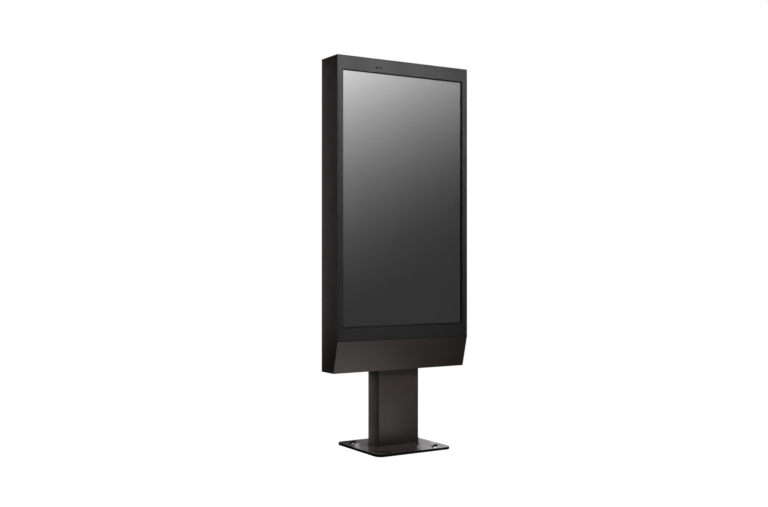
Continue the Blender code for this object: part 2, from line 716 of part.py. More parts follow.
def display():
    window = (ACTIVE_WIDTH / 2, SCREEN_Z - ACTIVE_HEIGHT / 2, SCREEN_Z + ACTIVE_HEIGHT / 2)
    rim = inset(window, -0.0095)
    back = -0.075
    bezel = ring("lcd_bezel", rim, window, BEZEL_FRONT, back, "black_plastic")
    half, bottom, top = inset(rim, BEZEL_SHEET)
    cut(bezel, box(
        "bezel_inside", (-half, BEZEL_FRONT + BEZEL_SHEET, bottom), (half, back + 0.010, top),
    ))
    half, bottom, top = inset(rim, BEZEL_SHEET + TOUCH)
    box("lcd_cell", (-half, CELL_FRONT, bottom), (half, CELL_FRONT + CELL_THICKNESS, top), "screen")
    tray = box("backlight_tray", (-half, TRAY_FRONT, bottom), (half, TRAY_BACK, top), "plated_steel")
    wall = 0.0015
    cut(tray, box(
        "tray_inside",
        (-half + wall, TRAY_FRONT - 0.010, bottom + wall), (half - wall, TRAY_BACK - wall, top - wall),
    ))
    face = TRAY_BACK + TOUCH
    low = Vector((-0.150, face, 1.200))
    high = Vector((0.130, face + 0.0155, 1.380))
    cover = box("driver_box", low, high, "aluminium")
    cut(cover, box(
        "driver_box_inside", low + Vector((wall, -0.010, wall)), high - Vector((wall, wall, wall)),
    ))
    for row in range(8):
        vent = low.z + 0.032 + row * 0.016
        cut(cover, box(
            f"driver_vent_{row}", (-0.110, face + 0.010, vent), (-0.020, face + 0.020, vent + 0.006),
        ))


def hinge():
    bush_edge = rectangle(
        (-DOOR_HALF + SHEET + TOUCH, FRONT + SHEET + TOUCH), (PIVOT[0] + 0.006, FRONT + FRAME_DEPTH - 0.0003),
    )
    hole = circle(PIVOT, PIN_RADIUS + TOUCH, 24)
    height = 0.018
    for name, low in (
        ("top", DOOR_HIGH - SHEET - TOUCH - height),
        ("bottom", DOOR_LOW + SHEET + TOUCH),
    ):
        outline(f"hinge_bush_{name}", [bush_edge, hole], "XY", low, low + height, "pale_plastic")
    for name, low, high in (
        ("top", TOP - 0.024, TOP - TOUCH),
        ("bottom", BEND - 0.0022, BEND + 0.022),
    ):
        rod(f"hinge_pin_{name}", (*PIVOT, low), (*PIVOT, high), PIN_RADIUS, "plated_steel", sides=24)


def hang_door():
    names = (
        "door_frame", "glass_gasket", "touch_glass", "display_carrier_left", "display_carrier_right",
        "glass_retainer_top", "glass_retainer_bottom", "lcd_bezel", "lcd_cell", "backlight_tray",
        "driver_box", "sensor_board", "light_sensor_window", "ir_receiver_window",
        "hinge_bush_top", "hinge_bush_bottom", "lock_strike_upper", "lock_strike_lower",
    )
    hang_on("door_axis", (*PIVOT, SCREEN_Z), *(bpy.data.objects[name] for name in names))


# ---------------------------------------------------------------- cam locks in the right side
def lock(name, height):
    """A cam lock. At rest its cam points to the front, clear of the door's strike."""
    place = (HALF, LOCK_Y, height)
    inner_end = -0.0187
    sleeve = [
        (0.0053, PROUD), (0.0105, PROUD), (0.0110, TOUCH), (0.0080, TOUCH), (0.0080, inner_end),
        (0.0053, inner_end),
    ]
    turned(f"lock_body_{name}", sleeve, place, (1, 0, 0), "lock_chrome", ring=True)
    core_face = PROUD - TOUCH
    core_end = inner_end - 0.0007
    core = [(0, core_face), (0.0050, core_face), (0.0050, core_end), (0, core_end)]
    plug = turned(f"lock_plug_{name}", core, place, (1, 0, 0), "lock_chrome")
    cut(plug, box(
        f"keyway_{name}",
        (HALF - 0.006, LOCK_Y - 0.0006, height - 0.003), (HALF + 0.004, LOCK_Y + 0.0006, height + 0.003),
    ))
    cam_back = HALF + inner_end - 0.0010
    bar = slot((LOCK_Y - (CAM_REACH - CAM_WIDTH / 2) / 2, height), CAM_REACH + CAM_WIDTH / 2, CAM_WIDTH)
    cam = outline(f"lock_cam_{name}", [bar], "YZ", cam_back - 0.0023, cam_back, "plated_steel")
    hang_on(f"lock_axis_{name}", place, plug, cam)

    foot = GLASS_BACK + TOUCH + 0.0015 + TOUCH
    hook = LOCK_Y + CAM_WIDTH / 2 + 0.0005
    profile = [
        (0.3572, foot), (0.3680, foot), (0.3680, foot + SHEET), (0.3592, foot + SHEET),
        (0.3592, hook + SHEET), (0.3525, hook + SHEET), (0.3525, hook), (0.3572, hook),
    ]
    outline(f"lock_strike_{name}", [profile], "XY", height + 0.013, height + 0.027, "plated_steel")


# ---------------------------------------------------------------- assembly
floor_plate()
column()
side_panels()
top_and_bottom_panels()
apron_panel()
back_panel()
vents()
fan(-1, "left")
fan(1, "right")
chassis()
power_supply()
media_player()
breaker()
wiring()
door_frame()
sensors()
glazing()
display()
hinge()
for lock_name, lock_height in LOCK_HEIGHTS.items():
    lock(lock_name, lock_height)
hang_door()
bpy.context.view_layer.update()
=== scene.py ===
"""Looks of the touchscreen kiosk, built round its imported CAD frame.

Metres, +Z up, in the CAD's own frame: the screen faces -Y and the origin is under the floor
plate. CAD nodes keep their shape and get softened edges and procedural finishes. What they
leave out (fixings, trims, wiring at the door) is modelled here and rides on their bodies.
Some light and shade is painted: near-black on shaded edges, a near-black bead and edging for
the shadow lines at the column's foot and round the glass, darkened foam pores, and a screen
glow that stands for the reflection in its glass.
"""

import json
from math import copysign, cos, pi, radians, sin, sqrt

import bmesh
import bpy
from mathutils import Matrix, Vector


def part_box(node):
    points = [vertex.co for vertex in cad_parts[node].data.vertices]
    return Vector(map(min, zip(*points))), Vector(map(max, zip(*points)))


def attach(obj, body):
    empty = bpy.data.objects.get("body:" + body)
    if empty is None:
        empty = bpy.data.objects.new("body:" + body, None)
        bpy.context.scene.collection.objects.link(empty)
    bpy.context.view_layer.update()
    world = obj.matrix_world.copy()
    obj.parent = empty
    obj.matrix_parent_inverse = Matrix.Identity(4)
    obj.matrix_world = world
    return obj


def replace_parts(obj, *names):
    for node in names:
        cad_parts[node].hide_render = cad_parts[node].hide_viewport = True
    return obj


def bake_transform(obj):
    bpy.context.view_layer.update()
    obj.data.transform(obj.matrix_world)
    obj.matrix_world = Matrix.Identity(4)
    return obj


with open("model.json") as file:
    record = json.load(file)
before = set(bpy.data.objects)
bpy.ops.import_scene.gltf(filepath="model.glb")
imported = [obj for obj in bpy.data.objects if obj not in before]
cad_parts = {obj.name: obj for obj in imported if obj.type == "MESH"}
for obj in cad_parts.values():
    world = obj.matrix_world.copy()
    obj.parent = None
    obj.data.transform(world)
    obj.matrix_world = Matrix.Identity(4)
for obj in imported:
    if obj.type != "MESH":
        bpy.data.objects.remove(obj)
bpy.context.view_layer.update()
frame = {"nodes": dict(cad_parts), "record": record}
nodes = frame["nodes"]

# ---------------- places read from the frame
SCREEN_LOW, SCREEN_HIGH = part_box("lcd_cell")
GLASS_LOW, GLASS_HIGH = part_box("touch_glass")
TRAY_LOW, TRAY_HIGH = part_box("backlight_tray")
BACK_LOW, BACK_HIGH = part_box("back_panel")
SHELF_LOW, SHELF_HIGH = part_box("equipment_plate")
COLUMN_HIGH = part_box("column_tube")[1]
PLATE_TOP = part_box("base_plate")[1].z
FRAME_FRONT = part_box("door_frame")[0].y
SIDE_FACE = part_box("right_side_panel")[1].x

ACTIVE_INSET = 0.0080        # picture's edge, in from the edge of the display cell
OPENING_INSET = 0.0075       # frame opening, in from the edge of the glass
SURFACE_GAP = 0.0001         # what lies on a face stands this far off it
SUNK = 0.0003                # a fixing reaches this far into the face it sits on
FRONT = (0, -1, 0)
REAR = (0, 1, 0)


# ---------------- materials
MIX_A, MIX_B, MIX_RESULT = 6, 7, 2    # a Mix node's colour sockets


def feed(tree, socket, value):
    """Link a socket to another, or set its value."""
    if isinstance(value, bpy.types.NodeSocket):
        tree.links.new(value, socket)
    else:
        socket.default_value = value


def add_node(tree, kind, inputs=(), **settings):
    node = tree.nodes.new(kind)
    for key, value in settings.items():
        setattr(node, key, value)
    for key, value in dict(inputs).items():
        feed(tree, node.inputs[key], value)
    return node


class Finish:
    """A Principled material, with short ways to make the nodes that feed it."""

    def __init__(self, name, colour, roughness, metallic=0.0, **sockets):
        self.material = bpy.data.materials.new(name)
        self.material.use_nodes = True
        self.tree = self.material.node_tree
        self.shader = self.tree.nodes["Principled BSDF"]
        self.shader.inputs["Metallic"].default_value = metallic
        self.shader.inputs["Roughness"].default_value = roughness
        self.shader.inputs["Base Color"].default_value = (*colour, 1)
        for socket, value in sockets.items():
            self.shader.inputs[socket.replace("_", " ")].default_value = value
        self.colour = colour
        self.place = self.tree.nodes.new("ShaderNodeTexCoord").outputs["Object"]

    def node(self, kind, inputs=(), **settings):
        return add_node(self.tree, kind, inputs, **settings)

    def set(self, socket, value):
        """Feed one of the shader's own sockets."""
        feed(self.tree, self.shader.inputs[socket], value)

    def maths(self, operation, a, b=0.0, clamp=False):
        return self.node("ShaderNodeMath", {0: a, 1: b}, operation=operation, use_clamp=clamp).outputs[0]

    def scaled_place(self, stretch):
        return self.node("ShaderNodeMapping", {"Vector": self.place, "Scale": stretch}).outputs[0]

    def noise(self, scale, detail=3.0, stretch=None, distortion=0.0):
        """Noise whose grain is about 1/scale metres."""
        place = self.scaled_place(stretch) if stretch else self.place
        inputs = {"Vector": place, "Scale": scale, "Detail": detail, "Distortion": distortion}
        return self.node("ShaderNodeTexNoise", inputs).outputs["Fac"]

    def cells(self, scale, feature="F1", stretch=None):
        place = self.scaled_place(stretch) if stretch else self.place
        return self.node("ShaderNodeTexVoronoi", {"Vector": place, "Scale": scale}, feature=feature)

    def fit(self, value, low, high, to_low=0.0, to_high=1.0):
        """Carry low..high smoothly to to_low..to_high."""
        inputs = {"Value": value, "From Min": low, "From Max": high, "To Min": to_low, "To Max": to_high}
        return self.node("ShaderNodeMapRange", inputs, interpolation_type="SMOOTHSTEP").outputs[0]

    def axis(self, letter):
        return self.node("ShaderNodeSeparateXYZ", {0: self.place}).outputs[letter]

    def upward(self):
        """How far a face looks up, from 0 to 1."""
        normal = self.node("ShaderNodeNewGeometry").outputs["Normal"]
        height = self.node("ShaderNodeSeparateXYZ", {0: normal}).outputs["Z"]
        return self.fit(height, 0.5, 0.95)

    def mix(self, share, a, b):
        inputs = {"Factor": share, MIX_A: a, MIX_B: b}
        return self.node("ShaderNodeMix", inputs, data_type="RGBA").outputs[MIX_RESULT]

    def shade(self, factor):
        """The finish's own colour times factor."""
        return tuple(channel * factor for channel in self.colour) + (1,)

    def vary_colour(self, share, dark, light):
        """Run the base colour between two tones of itself."""
        return self.mix(share, self.shade(dark), self.shade(light))

    def set_colour(self, colour):
        self.set("Base Color", colour)

    def set_roughness(self, share, low, high):
        self.set("Roughness", self.fit(share, 0.25, 0.75, low, high))

    def bumps(self, *layers):
        """Stack bump layers, each (height, distance in metres, strength)."""
        normal = None
        for height, distance, strength in layers:
            inputs = {"Height": height, "Distance": distance, "Strength": strength}
            if normal is not None:
                inputs["Normal"] = normal
            normal = self.node("ShaderNodeBump", inputs).outputs[0]
        self.set("Normal", normal)


def powder_coat(name, colour, roughness, grain, scuffed=0.0):
    """Textured paint: fine grain, slow orange peel, cloudy tone, a little dust on what looks up."""
    finish = Finish(name, colour, roughness)
    cloud = finish.noise(4.0, 5.0)
    peel = finish.noise(grain * 0.22, 2.0)
    fine = finish.noise(grain, 4.0)
    tone = finish.vary_colour(cloud, 0.90, 1.10)
    speckle = finish.fit(fine, 0.42, 0.62)
    tone = finish.mix(finish.maths("MULTIPLY", speckle, 0.22), tone, finish.shade(1.7))
    patches = finish.fit(finish.noise(30.0, 6.0), 0.35, 0.75, 0.0, 0.10)
    tone = finish.mix(finish.maths("MULTIPLY", finish.upward(), patches), tone, (0.20, 0.19, 0.18, 1))
    if scuffed:
        streaks = finish.noise(60.0, 5.0, (1.0, 6.0, 1.0), 1.2)
        scratch = finish.fit(streaks, 0.655, 0.70, 0.0, scuffed)
        tone = finish.mix(scratch, tone, finish.shade(3.2))
    finish.set_colour(tone)
    finish.set_roughness(finish.noise(9.0, 6.0), roughness - 0.05, roughness + 0.06)
    finish.bumps((peel, 0.00020, 0.35), (fine, 0.00012, 0.55))
    return finish.material


def float_glass():
    """Clear cover glass, with the faint smears that a wiped touch screen keeps."""
    finish = Finish("cover_glass", (0.94, 0.94, 0.94), 0.03, Transmission_Weight=1.0, IOR=1.46)
    smear = finish.noise(7.0, 6.0, (1.0, 1.0, 0.35), 2.5)
    prints = finish.noise(55.0, 3.0, None, 1.0)
    wiped = finish.maths("MULTIPLY", finish.fit(smear, 0.45, 0.70), finish.fit(prints, 0.35, 0.65, 0.35, 1.0))
    finish.set("Roughness", finish.fit(wiped, 0.0, 1.0, 0.015, 0.060))
    return finish.material


# The screen's glow is a painted reflection: a grey fade that stands for the reflection in its glass.
REFLECTION_BLACK = 0.210        # display value of the painted reflection's dark end
REFLECTION_LIGHT = 0.650        # what its bright corner adds
REFLECTION_FALL = 1.76          # how fast the light dies away down the screen
REFLECTION_SLANT = 0.29         # how much the fade leans across the screen
DISPLAY_GAMMA = 2.2
LINE_PITCH = 0.0063          # spacing of the panel's faint upright lines


def screen_reflection_glow():
    """Painted reflection: the display glows a plain grey that fades from the top left corner, standing for
    the reflection in its glass.
    """
    finish = Finish("screen_painted_reflection", (0.010, 0.010, 0.011), 0.30, Emission_Strength=1.0)
    width = SCREEN_HIGH.x - SCREEN_LOW.x - 2 * ACTIVE_INSET
    height = SCREEN_HIGH.z - SCREEN_LOW.z - 2 * ACTIVE_INSET
    across = finish.maths("DIVIDE", finish.maths("SUBTRACT", finish.axis("X"), -width / 2), width)
    middle = (SCREEN_LOW.z + SCREEN_HIGH.z) / 2
    down = finish.maths("DIVIDE", finish.maths("SUBTRACT", middle + height / 2, finish.axis("Z")), height)
    fade = finish.maths("ADD", down, finish.maths("MULTIPLY", across, REFLECTION_SLANT))
    left = finish.maths("SUBTRACT", 1.0, fade, clamp=True)
    tone = finish.maths("MULTIPLY", finish.maths("POWER", left, REFLECTION_FALL), REFLECTION_LIGHT)
    shown = finish.maths("POWER", finish.maths("ADD", tone, REFLECTION_BLACK), DISPLAY_GAMMA)
    wave = {"Vector": finish.place, "Scale": 1.0 / LINE_PITCH}
    lines = finish.node("ShaderNodeTexWave", wave, bands_direction="X").outputs["Fac"]
    glow = finish.maths("MULTIPLY", shown, finish.fit(lines, 0.0, 1.0, 0.99, 1.01))
    # painted reflection: the fade is set as the screen's emission
    finish.set("Emission Color", finish.mix(glow, (0, 0, 0, 1), (1, 1, 1, 1)))
    return finish.material


def moulded_plastic(name, colour, roughness):
    """Plastic with a slow cloud in its tone and gloss, and a fine moulded grain."""
    finish = Finish(name, colour, roughness)
    cloud = finish.noise(25.0, 5.0)
    fine = finish.noise(1500.0, 3.0)
    finish.set_colour(finish.vary_colour(finish.mix(0.35, cloud, fine), 0.82, 1.18))
    finish.set_roughness(cloud, roughness - 0.07, roughness + 0.08)
    finish.bumps((finish.noise(300.0, 2.0), 0.00006, 0.3), (fine, 0.00005, 0.5))
    return finish.material


def soft_rubber():
    """Matt black rubber with a faint bloom."""
    finish = Finish("rubber", (0.018, 0.018, 0.018), 0.75)
    bloom = finish.noise(40.0, 6.0)
    finish.set_colour(finish.vary_colour(bloom, 0.75, 1.5))
    finish.set_roughness(bloom, 0.62, 0.85)
    finish.bumps((finish.noise(700.0, 4.0), 0.00010, 0.5))
    return finish.material


def plated_sheet():
    """Zinc-plated steel: faint crystals under a slow cloud, and a few light handling marks."""
    finish = Finish("plated_steel", (0.50, 0.51, 0.52), 0.38, 0.9)
    crystals = finish.cells(220.0)
    grey = finish.node("ShaderNodeSeparateColor", {0: crystals.outputs["Color"]}).outputs[0]
    cloud = finish.noise(6.0, 6.0, None, 0.6)
    tone = finish.vary_colour(finish.mix(0.75, grey, cloud), 0.86, 1.10)
    marks = finish.fit(finish.noise(70.0, 5.0, (1.0, 1.0, 4.0), 0.8), 0.64, 0.72, 0.0, 0.12)
    finish.set_colour(finish.mix(marks, tone, (0.36, 0.36, 0.36, 1)))
    finish.set_roughness(finish.mix(0.8, grey, cloud), 0.34, 0.46)
    finish.bumps((finish.noise(900.0, 2.0), 0.00003, 0.3))
    return finish.material


def brushed_aluminium():
    """Aluminium sheet, brushed along X."""
    finish = Finish("brushed_aluminium", (0.60, 0.605, 0.62), 0.33, 1.0)
    brushing = finish.noise(500.0, 4.0, (0.04, 1.0, 1.0))
    cloud = finish.noise(18.0, 5.0)
    finish.set_colour(finish.vary_colour(finish.mix(0.5, brushing, cloud), 0.86, 1.10))
    finish.set_roughness(brushing, 0.26, 0.44)
    finish.bumps((brushing, 0.00003, 0.5))
    return finish.material


def chromed_metal():
    """Polished plating with faint wipe marks."""
    finish = Finish("lock_chrome", (0.62, 0.62, 0.63), 0.16, 1.0)
    wipe = finish.noise(220.0, 5.0, (1.0, 4.0, 1.0), 1.0)
    finish.set_colour(finish.vary_colour(wipe, 0.90, 1.06))
    finish.set_roughness(wipe, 0.10, 0.26)
    finish.bumps((finish.noise(1200.0, 2.0), 0.00002, 0.3))
    return finish.material


def circuit_board():
    """Green solder mask over raised tracks."""
    finish = Finish("circuit_board", (0.018, 0.105, 0.050), 0.38)
    tracks = finish.cells(420.0, "DISTANCE_TO_EDGE", (1.0, 1.0, 0.5)).outputs["Distance"]
    line = finish.fit(tracks, 0.04, 0.10)
    tone = finish.mix(line, finish.shade(1.9), finish.vary_colour(finish.noise(60.0, 4.0), 0.85, 1.10))
    finish.set_colour(tone)
    finish.set_roughness(finish.noise(150.0, 3.0), 0.30, 0.48)
    finish.bumps((line, 0.00004, 0.6))
    return finish.material


def open_foam():
    """Open-cell filter foam: pale walls round deep pores, with painted shade darkening the pores."""
    finish = Finish("filter_foam", (0.030, 0.030, 0.033), 0.95)
    pores = finish.cells(520.0).outputs["Distance"]
    # painted shade: the pores are darkened towards their centres, the walls lightened
    finish.set_colour(finish.vary_colour(finish.fit(pores, 0.15, 0.75), 0.25, 2.4))
    finish.set_roughness(pores, 0.85, 1.0)
    finish.bumps((pores, 0.00080, 1.0))
    return finish.material


BODY_TONE = (0.0420, 0.0326, 0.0316)
FRAME_TONE = (0.0231, 0.0230, 0.0231)
MATERIALS = {
    "body_paint": powder_coat("body_powder_coat", BODY_TONE, 0.46, 1000.0),
    "plate_paint": powder_coat("plate_powder_coat", BODY_TONE, 0.36, 1000.0, scuffed=0.45),
    "frame_paint": powder_coat("frame_powder_coat", FRAME_TONE, 0.40, 1700.0),
    # near-black that paints shade on shaded edges, and on the bead and edging that draw shadow lines
    "painted_shade": powder_coat("shaded_edge_black", (0.004, 0.004, 0.004), 0.55, 1700.0),
    "glass": float_glass(),
    "window": moulded_plastic("sensor_window", (0.0015, 0.0012, 0.0015), 0.14),
    # painted reflection: the screen glows with a grey fade
    "screen": screen_reflection_glow(),
    "rubber": soft_rubber(),
    "plated_steel": plated_sheet(),
    "aluminium": brushed_aluminium(),
    "black_plastic": moulded_plastic("black_plastic", (0.020, 0.020, 0.021), 0.42),
    "grey_plastic": moulded_plastic("grey_plastic", (0.055, 0.052, 0.050), 0.40),
    "printed_black": moulded_plastic("printed_border", (0.0035, 0.0035, 0.0037), 0.30),
    "pale_plastic": moulded_plastic("pale_plastic", (0.62, 0.61, 0.57), 0.40),
    "red_plastic": moulded_plastic("red_plastic", (0.36, 0.022, 0.016), 0.42),
    "circuit_board": circuit_board(),
    "lock_chrome": chromed_metal(),
    "filter_foam": open_foam(),
}


# ---------------- CAD nodes
# Nodes with faces that many holes pierce, which can't be dissolved into one polygon.
PIERCED = (
    "column_tube", "fan_grille_left", "fan_grille_right", "media_player", "power_supply", "junction_block",
)


def soften(piece, width):
    """Smooth a piece and round its edges, leaving its flat faces flat."""
    for polygon in piece.data.polygons:
        polygon.use_smooth = True
    weld = piece.modifiers.new("weld", "WELD")
    weld.merge_threshold = 0.00001
    if piece.name not in PIERCED:
        flat = piece.modifiers.new("flat", "DECIMATE")
        flat.decimate_type = "DISSOLVE"
        flat.angle_limit = radians(1)
    if width:
        bevel = piece.modifiers.new("edges", "BEVEL")
        bevel.width = width
        bevel.segments = 2
        bevel.limit_method = "ANGLE"
        bevel.angle_limit = radians(38)
        bevel.use_clamp_overlap = True
        bevel.miter_outer = "MITER_ARC"
    even = piece.modifiers.new("shading", "WEIGHTED_NORMAL")
    even.weight = 80
    even.keep_sharp = False


# How far a CAD node's edges are rounded: by its finish, and where a node differs.
FINISH_EDGES = {
    "body_paint": 0.0005, "plate_paint": 0.0008, "frame_paint": 0.0006, "glass": 0.0003, "window": 0.0003,
    "screen": 0.0002, "rubber": 0.0003, "plated_steel": 0.0003, "aluminium": 0.0004,
    "black_plastic": 0.0004, "red_plastic": 0.0004, "pale_plastic": 0.0003, "circuit_board": 0.0002,
    "lock_chrome": 0.0003, "filter_foam": 0.0005,
}
NODE_EDGES = {
    "column_tube": 0.0006, "column_access_cover": 0.0006, "apron_panel": 0.0006, "back_panel": 0.0004,
    "fan_grille_left": 0.0004, "fan_grille_right": 0.0004, "intake_grille": 0.0004,
    "media_player": 0.0003, "junction_block": 0.0003,
}
# Nodes whose finish isn't simply that of their material slot.
NODE_FINISHES = {
    "base_plate": "plate_paint", "breaker_toggle": "red_plastic",
    "light_sensor_window": "window", "ir_receiver_window": "window",
}
# Nodes that detailed pieces stand for.
REMADE = ("fan_rotor_left", "fan_rotor_right", "lifting_plug_left", "lifting_plug_right")


def dress_cad_nodes():
    """Give each CAD node its finish, and rounded edges."""
    for part in frame["record"]["subparts"]:
        name = part["node"]
        if name in REMADE:
            continue
        finish = NODE_FINISHES.get(name, part["material_slot"])
        piece = nodes[name]
        piece.data.materials.clear()
        piece.data.materials.append(MATERIALS[finish])
        soften(piece, NODE_EDGES.get(name, FINISH_EDGES[finish]))


def blacken(name, chosen):
    """Turn the polygons of a CAD node that chosen() picks black, as painted shade."""
    mesh = nodes[name].data
    mesh.materials.append(MATERIALS["painted_shade"])
    for polygon in mesh.polygons:
        if chosen(polygon):
            polygon.material_index = 1


def paint_edge_shade():
    """Painted shade: black on the frame's inner return, and on the floor plate's cut edges and slot walls,
    which lie in shade.
    """
    margin = 0.0022
    reach = GLASS_HIGH.x - OPENING_INSET + margin
    low = GLASS_LOW.z + OPENING_INSET - margin
    high = GLASS_HIGH.z - OPENING_INSET + margin

    def in_opening(polygon):
        centre = polygon.center
        return abs(centre.x) < reach and low < centre.z < high and polygon.normal.y > -0.5

    blacken("door_frame", in_opening)
    blacken("base_plate", lambda polygon: abs(polygon.normal.z) < 0.5)


# ---------------- modelling helpers
def add_object(name, data):
    added = bpy.data.objects.new(name, data)
    bpy.context.scene.collection.objects.link(added)
    return added


def add_mesh(name, bm):
    mesh = bpy.data.meshes.new(name)
    bm.to_mesh(mesh)
    bm.free()
    return add_object(name, mesh)


def finish_piece(name, bm, finish, body, edge=0.0):
    """Turn a bmesh into a named piece that rides on a body."""
    bmesh.ops.recalc_face_normals(bm, faces=bm.faces)
    piece = add_mesh(name, bm)
    piece.data.materials.append(MATERIALS[finish])
    soften(piece, edge)
    if body:
        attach(piece, body)
    return piece


def skin(bm, rings, closed=False):
    """Join rings of vertices with faces. A closed run ends at its start, an open one is capped."""
    if not closed:
        bm.faces.new(rings[0])
        bm.faces.new(rings[-1])
    for ring, following in zip(rings, rings[1:] + rings[:1] if closed else rings[1:]):
        for i, corner in enumerate(ring):
            j = (i + 1) % len(ring)
            bm.faces.new((corner, ring[j], following[j], following[i]))


def hexagon(angle):
    """Reach of a hexagon's edge at this angle, for a corner reach of 1."""
    return cos(pi / 6) / cos(angle % (pi / 3) - pi / 6)


def lathe(bm, profile, place, axis, sides=24):
    """Turn (radius, height) points round an axis. A third number, 1, makes a ring hexagonal."""
    turn = Vector(axis).to_track_quat("Z", "Y").to_matrix()
    rings = []
    for radius, height, *six_sided in profile:
        ring = []
        for step in range(sides if radius else 1):
            angle = 2 * pi * step / sides
            reach = radius * (hexagon(angle) if six_sided else 1)
            point = Vector((reach * cos(angle), reach * sin(angle), height))
            ring.append(bm.verts.new(Vector(place) + turn @ point))
        rings.append(ring)
    for ring, following in zip(rings, rings[1:]):
        for step in range(sides):
            beside = (step + 1) % sides
            corners = [
                ring[step % len(ring)], ring[beside % len(ring)],
                following[beside % len(following)], following[step % len(following)],
            ]
            bm.faces.new(list(dict.fromkeys(corners)))


def slab(bm, low, high):
    """A box from corner to corner, added to a larger piece."""
    low = Vector(low)
    high = Vector(high)
    size = Matrix.Diagonal((*(high - low), 1))
    bmesh.ops.create_cube(bm, size=1, matrix=Matrix.Translation((low + high) / 2) @ size)


def prism(bm, points, shift):
    """Extrude a closed outline of 3D points by a vector."""
    near = [bm.verts.new(Vector(point)) for point in points]
    far = [bm.verts.new(Vector(point) + Vector(shift)) for point in points]
    skin(bm, [near, far])


def smooth_route(route, steps):
    """Points along a Catmull-Rom curve, whose end points are doubled."""
    knots = [Vector(point) for point in (route[0], *route, route[-1])]
    points = []
    for a, b, c, d in zip(knots, knots[1:], knots[2:], knots[3:]):
        for step in range(steps):
            t = step / steps
            points.append(
                0.5 * (2 * b + (c - a) * t + (2 * a - 5 * b + 4 * c - d) * t**2
                       + (3 * b - a - 3 * c + d) * t**3)
            )
    points.append(knots[-1])
    return points


def sweep(bm, path, section, closed=False):
    """Loft a section along a path. section(i) gives (side, up) offsets at the path's point i."""
    count = len(path)
    rings = []
    for i, point in enumerate(path):
        before = path[i - 1] if closed or i else path[0]
        after = path[(i + 1) % count] if closed or i < count - 1 else path[-1]
        run = (after - before).normalized()
        reference = Vector((0, 0, 1)) if abs(run.z) < 0.9 else Vector((0, 1, 0))
        side = run.cross(reference).normalized()
        up = side.cross(run)
        rings.append([bm.verts.new(point + side * across + up * rise) for across, rise in section(i)])
    skin(bm, rings, closed)


def round_section(radius, sides=10):
    """The section of a round lead, the same all along it."""
    points = [
        (radius * cos(2 * pi * i / sides), radius * sin(2 * pi * i / sides))
        for i in range(sides)
    ]
    return lambda i: points


def spread(low, high, count):
    """Evenly spaced numbers from low to high."""
    return [low + (high - low) * i / (count - 1) for i in range(count)]


# ---------------- fixings
def button_head(radius, height):
    """Socket button screw, turned from its socket's floor out over the head."""
    socket = radius * 0.48
    return [
        (0, height * 0.35), (socket, height * 0.35, 1), (socket * 1.02, height * 0.93, 1),
        (socket * 1.20, height), (radius * 0.72, height * 0.92), (radius * 0.90, height * 0.66),
        (radius, height * 0.22), (radius, -SUNK), (0, -SUNK),
    ]


def hex_nut(radius, height):
    """Nut on a washer, with the end of its stud showing."""
    stud = radius * 0.50
    return [
        (0, height * 1.35), (stud * 0.85, height * 1.35), (stud, height * 1.20), (stud, height * 0.95),
        (radius * 0.80, height), (radius * 0.92, height * 0.94, 1), (radius, height * 0.80, 1),
        (radius, height * 0.22, 1), (radius * 1.25, height * 0.20), (radius * 1.30, height * 0.15),
        (radius * 1.30, -SUNK), (0, -SUNK),
    ]


def fixings(name, places, axis, shape, finish="plated_steel", body="stand"):
    """One piece with the same fixing at each place."""
    bm = bmesh.new()
    for place in places:
        lathe(bm, shape, place, axis)
    return finish_piece(name, bm, finish, body)


def corners(low, high, inset, y):
    """A place near each corner of a cover, at depth y."""
    return [(x, y, z) for x in (low.x + inset, high.x - inset) for z in (low.z + inset, high.z - inset)]


def back_panel_screws():
    inset = 0.009
    margin = 0.012
    places = [
        (x, BACK_HIGH.y, z)
        for x in (BACK_LOW.x + inset, BACK_HIGH.x - inset)
        for z in spread(BACK_LOW.z + margin, BACK_HIGH.z - margin, 9)
    ]
    places += [
        (x, BACK_HIGH.y, z)
        for z in (BACK_LOW.z + inset, BACK_HIGH.z - inset)
        for x in spread(-0.24, 0.24, 4)
    ]
    fixings("back_panel_screws", places, REAR, button_head(0.0042, 0.0020), "black_plastic")


def cover_screws():
    """Screws of the grilles and of the column's hatch. The wide intake has four more."""
    for name in ("fan_grille_left", "fan_grille_right", "intake_grille", "column_access_cover"):
        low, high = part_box(name)
        places = corners(low, high, 0.0062, high.y)
        if name == "intake_grille":
            inner = 0.0517
            edge = 0.0050
            places += [(x, high.y, z) for x in (-inner, inner) for z in (low.z + edge, high.z - edge)]
        fixings(f"{name}_screws", places, REAR, button_head(0.0032, 0.0016), "black_plastic")


def side_foot_fixings():
    """Two small screws and a plug low on each side."""
    plug = [
        (0, 0.0004), (0.0026, 0.0004), (0.0030, 0.0008), (0.0044, 0.0009), (0.0050, 0.0005),
        (0.0050, -SUNK), (0, -SUNK),
    ]
    for side, name in ((-1, "left"), (1, "right")):
        face = side * SIDE_FACE
        out = (side, 0, 0)
        screws = [(face, 0.000, BACK_LOW.z + 0.021), (face, -0.028, BACK_LOW.z + 0.0175)]
        fixings(f"foot_screws_{name}", screws, out, button_head(0.0030, 0.0009), "black_plastic")
        place = (face, -0.018, BACK_LOW.z + 0.067)
        fixings(f"foot_plug_{name}", [place], out, plug, "black_plastic")


